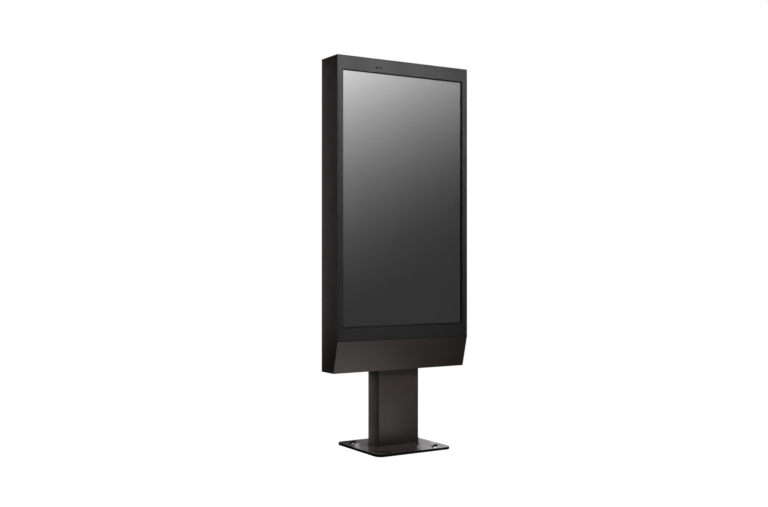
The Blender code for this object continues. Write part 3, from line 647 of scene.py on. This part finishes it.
def lifting_plugs():
    """Snap-in caps over the lifting eyes: a dark rim round a paler dished centre."""
    rim = [
        (0.0060, 0.0004), (0.0063, 0.0011), (0.0080, 0.0012), (0.0096, 0.0009), (0.0100, 0.0003),
        (0.0070, 0.0002), (0.0070, -0.0038), (0.0060, -0.0038), (0.0060, 0.0004),
    ]
    centre = [
        (0, 0.0007), (0.0008, 0.0007), (0.0040, 0.0004), (0.0059, 0.0003), (0.0059, -0.0036), (0, -0.0036),
    ]
    for side, name in ((-1, "left"), (1, "right")):
        low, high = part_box(f"lifting_plug_{name}")
        places = [(side * SIDE_FACE, (low.y + high.y) / 2, (low.z + high.z) / 2)]
        out = (side, 0, 0)
        piece = fixings(f"lifting_cap_rim_{name}", places, out, rim, "black_plastic")
        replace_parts(piece, f"lifting_plug_{name}")
        fixings(f"lifting_cap_centre_{name}", places, out, centre, "grey_plastic")


def foot_shadow_bead():
    """A fillet round the column's foot, shaped as a hand-run sealant bead and coloured near-black as a
    painted shadow: it draws the dark contact line there.
    """
    corner = 0.004
    leg = 0.0060
    root = 0.0015                # how far the bead reaches into the column
    under = 0.0006               # and into the plate
    step_length = 0.0011
    outline = []
    for quarter, (sx, sy) in enumerate(((1, 1), (-1, 1), (-1, -1), (1, -1))):
        centre = Vector((sx * (COLUMN_HIGH.x - corner), sy * (COLUMN_HIGH.y - corner), PLATE_TOP))
        for step in range(7):
            angle = pi / 2 * (quarter + step / 6)
            outline.append(centre + corner * Vector((cos(angle), sin(angle), 0)))
    path = []
    for start, end in zip(outline, outline[1:] + outline[:1]):
        pieces = max(1, round((end - start).length / step_length))
        path += [start.lerp(end, i / pieces) for i in range(pieces)]

    def bead(i):
        ripple = 1 + 0.04 * sin(i * 0.61) + 0.07 * sin(i * 0.217)
        reach = leg * ripple
        arc = [(0.15, 1.0), (0.45, 0.78), (0.74, 0.52), (0.93, 0.26), (1.0, 0.0)]
        outer = [(reach * across, reach * up) for across, up in arc]
        return [(-root, -under), (-root, leg), *outer, (reach, -under)]

    bm = bmesh.new()
    sweep(bm, path, bead, closed=True)
    return finish_piece("foot_shadow_bead", bm, "painted_shade", "stand")


# ---------------- glass border
def screen_border():
    """Black print on the back of the glass, from its edge to just past the picture's edge."""
    near = GLASS_HIGH.y + SURFACE_GAP / 2
    far = near + 0.00015
    overlap = 0.0006
    edge = 0.0006
    half = SCREEN_HIGH.x - ACTIVE_INSET + overlap
    low = SCREEN_LOW.z + ACTIVE_INSET - overlap
    high = SCREEN_HIGH.z - ACTIVE_INSET + overlap
    left, bottom = GLASS_LOW.x + edge, GLASS_LOW.z + edge
    right, top = GLASS_HIGH.x - edge, GLASS_HIGH.z - edge
    bm = bmesh.new()
    for x0, x1, z0, z1 in (
        (left, -half, bottom, top), (half, right, bottom, top), (-half, half, bottom, low),
        (-half, half, high, top),
    ):
        slab(bm, (x0, near, z0), (x1, far, z1))
    return finish_piece("glass_print", bm, "printed_black", "display_door")


def loft_round(bm, outline, section):
    """Loft (out, y) points round a hole in the frame. outline(out) gives its edge, moved out."""
    rings = [[bm.verts.new((x, y, z)) for x, z in outline(out)] for out, y in section]
    skin(bm, rings, closed=True)


def opening_shade_edging():
    """A black edging over the frame's opening, painted shade that draws a dark line round the glass where the
    opening's recess lies in shade.
    """
    half = GLASS_HIGH.x - OPENING_INSET
    low = GLASS_LOW.z + OPENING_INSET
    high = GLASS_HIGH.z - OPENING_INSET
    front = FRAME_FRONT

    def opening(out):
        left, right, bottom, top = -half - out, half + out, low - out, high + out
        return (left, bottom), (right, bottom), (right, top), (left, top)

    bm = bmesh.new()
    loft_round(bm, opening, [
        (0.0026, front + 0.0002), (0.0026, front - 0.0002), (0.0022, front - 0.0005),
        (0.0004, front - 0.0006), (-0.0005, front - 0.0003), (-0.0008, front + 0.0005),
        (-0.0008, front + 0.0052), (0.0002, front + 0.0052), (0.0002, front + 0.0002),
    ])
    return finish_piece("opening_shade_edging", bm, "painted_shade", "display_door")


def sensor_trims():
    """A thin black rim round each sensor window."""
    front = FRAME_FRONT
    sides = 32
    bm = bmesh.new()
    for window in ("light_sensor_window", "ir_receiver_window"):
        low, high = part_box(window)
        middle = (low + high) / 2
        radius = (high.z - low.z) / 2
        straight = (high.x - low.x) / 2 - radius

        def edge(out):
            points = []
            for step in range(sides):
                angle = 2 * pi * (step + 0.5) / sides
                across = copysign(straight, cos(angle)) + (radius + out) * cos(angle)
                points.append((middle.x + across, middle.z + (radius + out) * sin(angle)))
            return points

        loft_round(bm, edge, [
            (-0.0004, front - 0.0001), (-0.0004, front - 0.0004), (0.0010, front - 0.0005),
            (0.0021, front - 0.0003), (0.0022, front - 0.0001),
        ])
    return finish_piece("sensor_trims", bm, "printed_black", "display_door")


# ---------------- fans
def fan_rotor(name):
    """A hub with seven twisted blades, in place of the CAD's plain paddles."""
    low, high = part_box(f"fan_rotor_{name}")
    centre = (low + high) / 2
    hub = 0.019
    bm = bmesh.new()
    shell = [
        (0, 0.0078), (0.0150, 0.0084), (0.0176, 0.0080), (hub, 0.0062), (hub, -0.0085), (0.0172, -0.0088),
        (0, -0.0088),
    ]
    lathe(bm, shell, centre, (0, 1, 0), sides=48)
    blades = 7
    stations = spread(0.0182, 0.0545, 9)
    chordwise = spread(-0.5, 0.5, 9)
    for blade in range(blades):
        rings = []
        for radius in stations:
            share = (radius - stations[0]) / (stations[-1] - stations[0])
            pitch = radians(58 - 24 * share)
            chord = 0.0195 + 0.0095 * sin(pi * min(1.0, share * 0.62 + 0.25) / 1.15)
            lead = 2 * pi * blade / blades + 0.22 * share**2
            upper = []
            lower = []
            for along in chordwise:
                thick = 0.0007 * sqrt(max(0.0, 1 - (2 * along) ** 2)) + 0.0002
                camber = 0.0022 * (1 - (2 * along) ** 2)
                for row, offset in ((upper, camber + thick), (lower, camber - thick)):
                    tangent = along * chord * cos(pitch) - offset * sin(pitch)
                    axial = along * chord * sin(pitch) + offset * cos(pitch)
                    angle = lead + tangent / radius
                    point = Vector((radius * cos(angle), axial - 0.0010, radius * sin(angle)))
                    row.append(bm.verts.new(centre + point))
            rings.append(upper + lower[::-1])
        skin(bm, rings)
    piece = finish_piece(f"fan_blades_{name}", bm, "black_plastic", f"fan_{name}")
    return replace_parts(piece, f"fan_rotor_{name}")


def fan_screws():
    for name in ("left", "right"):
        low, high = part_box(f"fan_frame_{name}")
        places = corners(low, high, 0.0075, low.y)
        fixings(f"fan_screws_{name}", places, FRONT, button_head(0.0034, 0.0022))


# ---------------- equipment behind the display
def shelf_fixings():
    """Nuts and rivets that hold the equipment plate, the column and the uprights."""
    margin = 0.030
    edges = (SHELF_LOW.x + 0.020, SHELF_HIGH.x - 0.020)
    heights = spread(SHELF_LOW.z + margin, SHELF_HIGH.z - margin, 5)
    places = [(x, SHELF_LOW.y, z) for x in edges for z in heights]
    fixings("equipment_plate_nuts", places, FRONT, hex_nut(0.0050, 0.0042))
    low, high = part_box("mounting_spreader")
    rows = (low.y + 0.016, high.y - 0.016)
    places = [(x, y, high.z) for x in (low.x + 0.022, -0.075, 0.075, high.x - 0.022) for y in rows]
    fixings("column_nuts", places, (0, 0, 1), hex_nut(0.0075, 0.0068))
    for name in ("left", "right"):
        low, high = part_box(f"chassis_upright_{name}")
        places = [((low.x + high.x) / 2, low.y, z) for z in (0.42, 0.54, 0.66, 1.62, 1.74, 1.86)]
        fixings(f"upright_rivets_{name}", places, FRONT, button_head(0.0036, 0.0018))


def ears(name, finish):
    """Fixing ears above and below a case on the equipment plate, each with a screw."""
    low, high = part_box(name)
    reach = 0.014
    half = 0.008
    face = high.y - 0.0014
    bm = bmesh.new()
    screws = []
    for x in (low.x + 2 * half, high.x - 2 * half):
        for z0, z1 in ((low.z - reach, low.z), (high.z, high.z + reach)):
            slab(bm, (x - half, face, z0), (x + half, high.y, z1))
            screws.append((x, face, (z0 + z1) / 2))
    finish_piece(f"{name}_ears", bm, finish, "stand", 0.0004)
    fixings(f"{name}_screws", screws, FRONT, button_head(0.0030, 0.0020))


def terminal_strip():
    """Barrier terminals in the power supply's step, with a screw in each way."""
    step_face = -0.0040
    front = step_face - 0.0080
    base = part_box("power_supply")[0].z + 0.002
    top = base + 0.0180
    ways = 7
    pitch = 0.0135
    half_wall = 0.0009
    bm = bmesh.new()
    slab(bm, (-ways * pitch / 2, front, base), (ways * pitch / 2, step_face - SURFACE_GAP, top))
    for way in range(ways + 1):
        x = (way - ways / 2) * pitch
        slab(bm, (x - half_wall, front - 0.0045, base), (x + half_wall, front + 0.0002, top))
    finish_piece("supply_terminals", bm, "black_plastic", "stand", 0.0003)
    places = [((way - (ways - 1) / 2) * pitch, front, base + 0.0080) for way in range(ways)]
    fixings("supply_terminal_screws", places, FRONT, button_head(0.0036, 0.0020))


def player_ports():
    """Sockets along the media player's left side: a metal shell round a pale core."""
    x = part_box("media_player")[0].x
    proud = x - 0.0012
    y0, y1 = -0.0010, 0.0120
    wall = 0.0007
    shells = bmesh.new()
    cores = bmesh.new()
    for z, height in ((1.290, 0.0150), (1.375, 0.0140), (1.400, 0.0140)):
        z0, z1 = z - height / 2, z + height / 2
        slab(shells, (proud, y0, z0), (x, y0 + wall, z1))
        slab(shells, (proud, y1 - wall, z0), (x, y1, z1))
        slab(shells, (proud, y0 + wall, z0), (x, y1 - wall, z0 + wall))
        slab(shells, (proud, y0 + wall, z1 - wall), (x, y1 - wall, z1))
        slab(cores, (x - 0.0006, y0 + 0.003, z - height / 4), (x, y1 - 0.003, z + height / 4))
    finish_piece("player_port_shells", shells, "plated_steel", "stand", 0.0002)
    finish_piece("player_port_cores", cores, "pale_plastic", "stand", 0.0002)


def video_plug():
    """The signal lead's plug: a rounded body that tapers to a ribbed strain relief."""
    start = Vector((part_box("media_player")[0].x - 0.0002, 0.006, 1.330))
    length = 0.034
    half_width = 0.0105
    half_depth = 0.0055
    neck = 0.0035 * 1.45
    relief = 0.6                 # share of the length where the strain relief starts
    stations = [
        (0.0, 1.0), (0.06, 1.04), (0.48, 1.04), (0.58, 0.80), (relief, 0.0), (0.66, 0.0), (0.68, 0.10),
        (0.74, 0.10), (0.76, 0.0), (0.82, 0.0), (0.84, 0.08), (0.90, 0.08), (0.92, 0.0), (1.0, -0.06),
    ]
    sides = 20
    rings = []
    bm = bmesh.new()
    for share, fullness in stations:
        full = fullness if share < relief else 0.0
        ridge = 0.0 if share < relief else neck * fullness
        wide = neck + (half_width - neck) * full + ridge
        deep = neck + (half_depth - neck) * full + ridge
        ring = []
        for step in range(sides):
            angle = 2 * pi * step / sides
            square = (abs(cos(angle)) ** 6 + abs(sin(angle)) ** 6) ** (-1 / 6)
            reach = full * square + (1 - full)
            offset = Vector((-share * length, sin(angle) * deep * reach, cos(angle) * wide * reach))
            ring.append(bm.verts.new(start + offset))
        rings.append(ring)
    skin(bm, rings)
    return finish_piece("video_plug", bm, "black_plastic", "stand")


def lead_tie(bm, place, run, radius):
    """A tie round a lead: a flat band with its square head towards the front."""
    run = Vector(run).normalized()
    out = Vector(FRONT)
    side = run.cross(out).normalized()
    place = Vector(place)
    inner = radius + SURFACE_GAP
    outer = radius + 0.0011
    half = 0.0022
    steps = 20
    rings = []
    for step in range(steps):
        angle = 2 * pi * step / steps
        ray = side * cos(angle) + out * sin(angle)
        section = ((inner, -half), (outer, -half), (outer, half), (inner, half))
        rings.append([bm.verts.new(place + ray * reach + run * along) for reach, along in section])
    skin(bm, rings, closed=True)
    turn = Matrix((side, out, run)).transposed().to_4x4()
    size = Matrix.Diagonal((0.0036, 0.0030, 0.0050, 1))
    head = Matrix.Translation(place + out * (outer + 0.0010)) @ turn @ size
    bmesh.ops.create_cube(bm, size=1, matrix=head)


def lead_ties():
    """Ties along the internal leads: place, the way the lead runs there, its radius."""
    bm = bmesh.new()
    for place, run, radius in (
        ((0.2170, -0.0035, 0.9180), (-0.1, 0, 1), 0.0040),
        ((0.1050, 0.0008, 1.0165), (-1, 0, 0.2), 0.0040),
        ((-0.1480, 0.0070, 1.3265), (-1, 0, -0.2), 0.0035),
        ((-0.2430, 0.0073, 1.1600), (0, 0, -1), 0.0035),
    ):
        lead_tie(bm, place, run, radius)
    finish_piece("lead_ties", bm, "black_plastic", "stand", 0.0002)


def breaker_details():
    """Terminal screws sunk in the breaker's ends, and the rail it clips to."""
    low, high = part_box("breaker_body")
    middle = (low + high) / 2
    inset = 0.009
    places = [(middle.x + dx, low.y, z) for dx in (-inset, inset) for z in (low.z + inset, high.z - inset)]
    fixings("breaker_terminals", places, FRONT, button_head(0.0034, 0.0010))
    back = SHELF_LOW.y - SURFACE_GAP
    bm = bmesh.new()
    profile = [
        (0.0175, 0.0065), (0.0175, 0.0075), (0.0125, 0.0075), (0.0125, 0.0010), (-0.0125, 0.0010),
        (-0.0125, 0.0075), (-0.0175, 0.0075), (-0.0175, 0.0065), (-0.0135, 0.0065), (-0.0135, 0.0),
        (0.0135, 0.0), (0.0135, 0.0065),
    ]
    for start, end in ((low.x - 0.034, low.x - 0.0004), (high.x + 0.0004, high.x + 0.022)):
        points = [(start, back - rise, middle.z + up) for up, rise in profile]
        prism(bm, points, (end - start, 0, 0))
    finish_piece("breaker_rail", bm, "plated_steel", "stand", 0.0002)


# ---------------- back of the display, on the door
def tray_swages():
    """Raised stiffening bars pressed into the display's rear cover."""
    back = TRAY_HIGH.y
    rise = 0.0016
    steps = 8
    bm = bmesh.new()
    bars = [
        ((x, z0), (x, z1)) for x in (-0.300, -0.215, 0.200, 0.300)
        for z0, z1 in ((0.660, 1.150), (1.430, 1.770))
    ]
    bars += [((-0.130, z), (0.120, z)) for z in (0.700, 0.800, 0.900, 1.000, 1.500, 1.600, 1.700)]
    for (x0, z0), (x1, z1) in bars:
        start = Vector((x0, 0, z0))
        end = Vector((x1, 0, z1))
        run = (end - start).normalized()
        side = Vector((run.z, 0, -run.x))
        rings = []
        for reach, lift in ((0.0100, -0.0002), (0.0085, rise * 0.6), (0.0068, rise * 0.94), (0.0050, rise)):
            ring = []
            for middle, sign in ((end, 1), (start, -1)):
                for step in range(steps + 1):
                    angle = pi * (step / steps - 0.5)
                    ray = run * cos(angle) * sign + side * sin(angle) * sign
                    ring.append(bm.verts.new(middle + ray * reach + Vector((0, back + lift, 0))))
            rings.append(ring)
        skin(bm, rings)
    finish_piece("tray_swages", bm, "plated_steel", "display_door")


def tray_screws():
    """Screws all round the display's rear cover."""
    inset = 0.012
    heights = spread(0.640, 1.790, 8)
    places = [(x, TRAY_HIGH.y, z) for x in (TRAY_LOW.x + inset, TRAY_HIGH.x - inset) for z in heights]
    across = spread(-0.250, 0.250, 5)
    places += [(x, TRAY_HIGH.y, z) for z in (TRAY_LOW.z + inset, TRAY_HIGH.z - inset) for x in across]
    fixings("tray_screws", places, REAR, button_head(0.0034, 0.0018), body="display_door")


def driver_box_ears():
    """Fixing ears at both sides of the driver box, each with a screw."""
    low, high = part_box("driver_box")
    foot = TRAY_HIGH.y + SURFACE_GAP
    face = TRAY_HIGH.y + 0.0014
    reach = 0.013
    half = 0.008
    bm = bmesh.new()
    screws = []
    for x0, x1 in ((low.x - reach, low.x), (high.x, high.x + reach)):
        for z in (low.z + 0.020, high.z - 0.020):
            slab(bm, (x0, foot, z - half), (x1, face, z + half))
            screws.append(((x0 + x1) / 2, face, z))
    finish_piece("driver_box_ears", bm, "aluminium", "display_door", 0.0003)
    fixings("driver_box_screws", screws, REAR, button_head(0.0032, 0.0018), body="display_door")


def display_clips():
    """Z-shaped clips that hold the display down on its carriers."""
    back = TRAY_HIGH.y + SURFACE_GAP
    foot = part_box("display_carrier_right")[1].y + SURFACE_GAP
    thick = 0.0014
    web = TRAY_HIGH.x + 0.0022
    toe = web + thick + 0.0125
    lip = web - 0.016
    width = 0.022
    profile = [
        (toe, foot), (web, foot), (web, back), (lip, back), (lip, back + thick), (web + thick, back + thick),
        (web + thick, foot + thick), (toe, foot + thick),
    ]
    bm = bmesh.new()
    screws = []
    for side in (-1, 1):
        for z in (0.665, 0.800, 0.985, 1.215, 1.440, 1.640, 1.760):
            prism(bm, [(side * x, y, z - width / 2) for x, y in profile], (0, 0, width))
            screws.append((side * (web - 0.009), back + thick, z))
            screws.append((side * (web + thick + 0.0072), foot + thick, z))
    finish_piece("display_clips", bm, "plated_steel", "display_door", 0.0004)
    fixings("display_clip_screws", screws, REAR, button_head(0.0030, 0.0016), body="display_door")


def sensor_lead():
    """A thin lead from the driver box over the display's top edge to the sensor board."""
    box_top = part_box("driver_box")[1].z
    board_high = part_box("sensor_board")[1]
    x = board_high.x - 0.012
    behind = TRAY_HIGH.y + 0.0020
    over = board_high.z - 0.0095
    route = [
        (-0.060, behind + 0.006, box_top + 0.0002), (-0.060, behind + 0.005, box_top + 0.020),
        (-0.085, behind + 0.001, box_top + 0.060), (-0.165, behind + 0.0002, 1.470),
        (-0.1725, behind, 1.560), (-0.1725, behind, 1.700), (-0.1700, behind, 1.790),
        (-0.1500, behind - 0.0005, 1.832), (x, behind - 0.006, over + 0.0005), (x, -0.070, over),
        (x, -0.088, over - 0.0005), (x, board_high.y + 0.0045, over - 0.0010),
    ]
    bm = bmesh.new()
    sweep(bm, smooth_route(route, 6), round_section(0.0014))
    finish_piece("sensor_lead", bm, "rubber", "display_door")
    plug = bmesh.new()
    foot = board_high.y + SURFACE_GAP
    middle = over - 0.0010
    for half_width, half_height, rise in ((0.005, 0.0035, 0.0050), (0.006, 0.0045, 0.0022)):
        low = (x - half_width, foot, middle - half_height)
        slab(plug, low, (x + half_width, board_high.y + rise, middle + half_height))
    finish_piece("sensor_lead_plug", plug, "pale_plastic", "display_door", 0.0002)


def door_harness():
    """The flexible harness that crosses from the junction block to the door, close to its pivot."""
    block_low, block_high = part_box("junction_block")
    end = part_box("driver_box")[0].x - 0.0004
    x = (block_low.x + block_high.x) / 2
    behind = TRAY_HIGH.y + 0.0065
    route = [
        (x, 0.0070, block_low.z - 0.0003), (x, 0.0068, 0.985), (x - 0.004, 0.005, 0.960),
        (x - 0.026, 0.000, 0.938), (-0.305, -0.004, 0.930), (-0.334, -0.010, 0.932),
        (-0.343, -0.022, 0.945), (-0.337, -0.034, 0.965), (-0.315, behind + 0.0005, 0.990),
        (-0.285, behind, 1.030), (-0.258, behind, 1.090), (-0.235, behind, 1.180),
        (-0.205, behind + 0.0005, 1.245), (-0.175, behind + 0.0010, 1.262), (end, behind + 0.0010, 1.265),
    ]
    bm = bmesh.new()
    sweep(bm, smooth_route(route, 14), round_section(0.0042, 14))
    piece = finish_piece("door_harness", bm, "rubber", None)
    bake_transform(piece)
    return piece


# ---------------- camera, light and stage
CAMERA_PLACE = Vector((-2.670, -4.232, 0.936))
CAMERA_YAW = radians(31.72)
CAMERA_PITCH = 0.0040
CAMERA_LENS = 47.33
CAMERA_SENSOR = 36.0


def place_camera():
    """The camera, level with the screen's lower half and to its left."""
    data = bpy.data.cameras.new("camera")
    data.lens = CAMERA_LENS
    data.sensor_width = CAMERA_SENSOR
    camera = add_object("camera", data)
    camera.location = CAMERA_PLACE
    camera.rotation_euler = (pi / 2 + CAMERA_PITCH, 0, -CAMERA_YAW)
    bpy.context.scene.camera = camera


def soft_light(name, place, target, size, power, beam=180.0):
    """A soft rectangular light at place that faces target."""
    data = bpy.data.lights.new(name, "AREA")
    data.shape = "RECTANGLE"
    data.size, data.size_y = size
    data.energy = power
    data.spread = radians(beam)
    light = add_object(name, data)
    light.location = place
    light.rotation_euler = (Vector(target) - Vector(place)).to_track_quat("-Z", "Y").to_euler()
    light.visible_camera = False
    light.visible_glossy = name not in UNMIRRORED
    light.visible_transmission = name not in UNMIRRORED


# Lights that would show in the glass of an open door.
UNMIRRORED = ("rear_wash", "rear_card", "left_wash", "side_strip")
# Name, place, target, size, power, and for a narrow beam its spread in degrees. The cards lie
# low and stand for the light that a pale floor throws up.
LIGHTS = (
    ("overhead", (0.2, -1.4, 3.2), (0, -0.1, 1.6), (1.6, 0.8), 40.0),
    ("upper_front", (0.1, -1.5, 2.7), (0, -0.1, 1.55), (1.4, 0.5), 4.3, 50.0),
    ("front", (0.2, -1.4, 3.2), (0, -0.1, 1.5), (1.6, 0.8), 2.7, 60.0),
    ("far_front", (0, -2.2, 2.85), (0, -0.1, 1.5), (1.4, 0.4), 0.9, 40.0),
    ("upper_left", (-0.45, -1.0, 2.9), (-0.2, -0.1, 1.6), (0.8, 0.5), 1.3),
    ("front_card", (-0.18, -0.85, 0.03), (-0.34, -0.30, 0.60), (0.5, 0.5), 0.56, 100.0),
    ("middle_card", (-0.10, -0.55, 0.03), (-0.20, -0.30, 0.60), (0.4, 0.2), 0.36, 120.0),
    ("near_card", (0.02, -0.32, 0.03), (0.04, -0.20, 0.5), (0.24, 0.12), 0.46, 150.0),
    ("column_strip", (-0.145, 0.11, 0.18), (-0.116, 0.045, 0.18), (0.04, 0.34), 0.040),
    ("side_strip", (-0.40, 0.10, 1.15), (-0.375, 0.045, 1.15), (0.04, 1.5), 0.36),
    ("side_panel", (-0.62, 0.66, 1.25), (0.38, 0.66, 1.25), (0.55, 1.45), 1.05),
    ("plate_card", (0.60, 0.40, 0.08), (0.15, 0, 0.012), (0.3, 0.1), 0.38),
    ("plate_back", (0.75, 0.95, 0.15), (0.1, 0, 0), (0.7, 0.3), 0.50),
    ("rear", (1.6, 3.6, 2.2), (0, 0, 1.0), (2.6, 2.6), 3.0),
    ("rear_wash", (0.6, 3.4, 2.4), (0, 0, 1.70), (1.8, 1.4), 8.0, 80.0),
    ("rear_card", (0.46, 0.90, 0.03), (0.46, 0.90, 1.0), (1.1, 0.8), 16.0),
    ("left_wash", (-3.2, 0.9, 1.5), (-0.37, 0, 1.20), (1.2, 1.6), 6.5),
    ("right_wash", (3.2, 0.7, 2.1), (0.37, 0, 1.75), (1.2, 1.0), 6.0, 36.0),
    ("right_card", (1.15, 0.50, 0.03), (1.15, 0.50, 1.0), (0.8, 0.7), 5.0),
)
AMBIENT = 0.04               # light from all round
SKYLIGHT = 0.05              # what a broad soft panel straight above adds
SKYLIGHT_FULL = 10           # degrees from straight up where it is full,
SKYLIGHT_ENDS = 70           # and where it ends


def light_studio():
    for light in LIGHTS:
        soft_light(*light)


def camera_switch(tree, seen, lighting, output):
    """Show the camera one shader, and light the object with another."""
    for_camera = add_node(tree, "ShaderNodeLightPath").outputs["Is Camera Ray"]
    choose = add_node(tree, "ShaderNodeMixShader", {0: for_camera, 1: lighting, 2: seen})
    tree.links.new(choose.outputs[0], output.inputs["Surface"])


def studio_world():
    """White for the camera; for the object, a soft panel above a dim surround."""
    world = bpy.data.worlds.new("studio")
    bpy.context.scene.world = world
    world.use_nodes = True
    tree = world.node_tree
    tree.nodes.clear()
    direction = add_node(tree, "ShaderNodeTexCoord").outputs["Generated"]
    inputs = {
        "Value": add_node(tree, "ShaderNodeSeparateXYZ", {0: direction}).outputs["Z"],
        "From Min": cos(radians(SKYLIGHT_ENDS)), "From Max": cos(radians(SKYLIGHT_FULL)),
        "To Min": AMBIENT, "To Max": AMBIENT + SKYLIGHT,
    }
    strength = add_node(tree, "ShaderNodeMapRange", inputs, interpolation_type="SMOOTHSTEP").outputs[0]
    lighting = add_node(tree, "ShaderNodeBackground", {"Strength": strength}).outputs[0]
    seen = add_node(tree, "ShaderNodeBackground", {"Color": (1, 1, 1, 1)}).outputs[0]
    camera_switch(tree, seen, lighting, add_node(tree, "ShaderNodeOutputWorld"))


FLOOR_REACH = 30.0
FLOOR_TONE = (0.06, 0.06, 0.06)
FLOOR_GLOW = 0.99            # added for the camera only


def studio_floor():
    """A floor that the camera sees as near white, and that throws little light up."""
    bm = bmesh.new()
    bmesh.ops.create_grid(bm, x_segments=1, y_segments=1, size=FLOOR_REACH)
    floor = add_mesh("floor", bm)
    floor.location.z = -2 * SURFACE_GAP
    finish = Finish("floor", FLOOR_TONE, 0.9)
    lighting = finish.shader.outputs[0]
    glow = finish.node("ShaderNodeEmission", {"Strength": FLOOR_GLOW}).outputs[0]
    seen = finish.node("ShaderNodeAddShader", {0: glow, 1: lighting}).outputs[0]
    camera_switch(finish.tree, seen, lighting, finish.tree.nodes["Material Output"])
    floor.data.materials.append(finish.material)


# ---------------- the whole scene
place_camera()
dress_cad_nodes()
paint_edge_shade()
back_panel_screws()
cover_screws()
side_foot_fixings()
lifting_plugs()
foot_shadow_bead()
screen_border()
opening_shade_edging()
sensor_trims()
fan_rotor("left")
fan_rotor("right")
fan_screws()
shelf_fixings()
ears("power_supply", "aluminium")
ears("media_player", "black_plastic")
terminal_strip()
player_ports()
video_plug()
lead_ties()
breaker_details()
tray_swages()
tray_screws()
driver_box_ears()
display_clips()
sensor_lead()
door_harness()
light_studio()
studio_world()
studio_floor()
bpy.context.scene.view_settings.view_transform = "Standard"
bpy.context.scene.view_settings.look = "None"
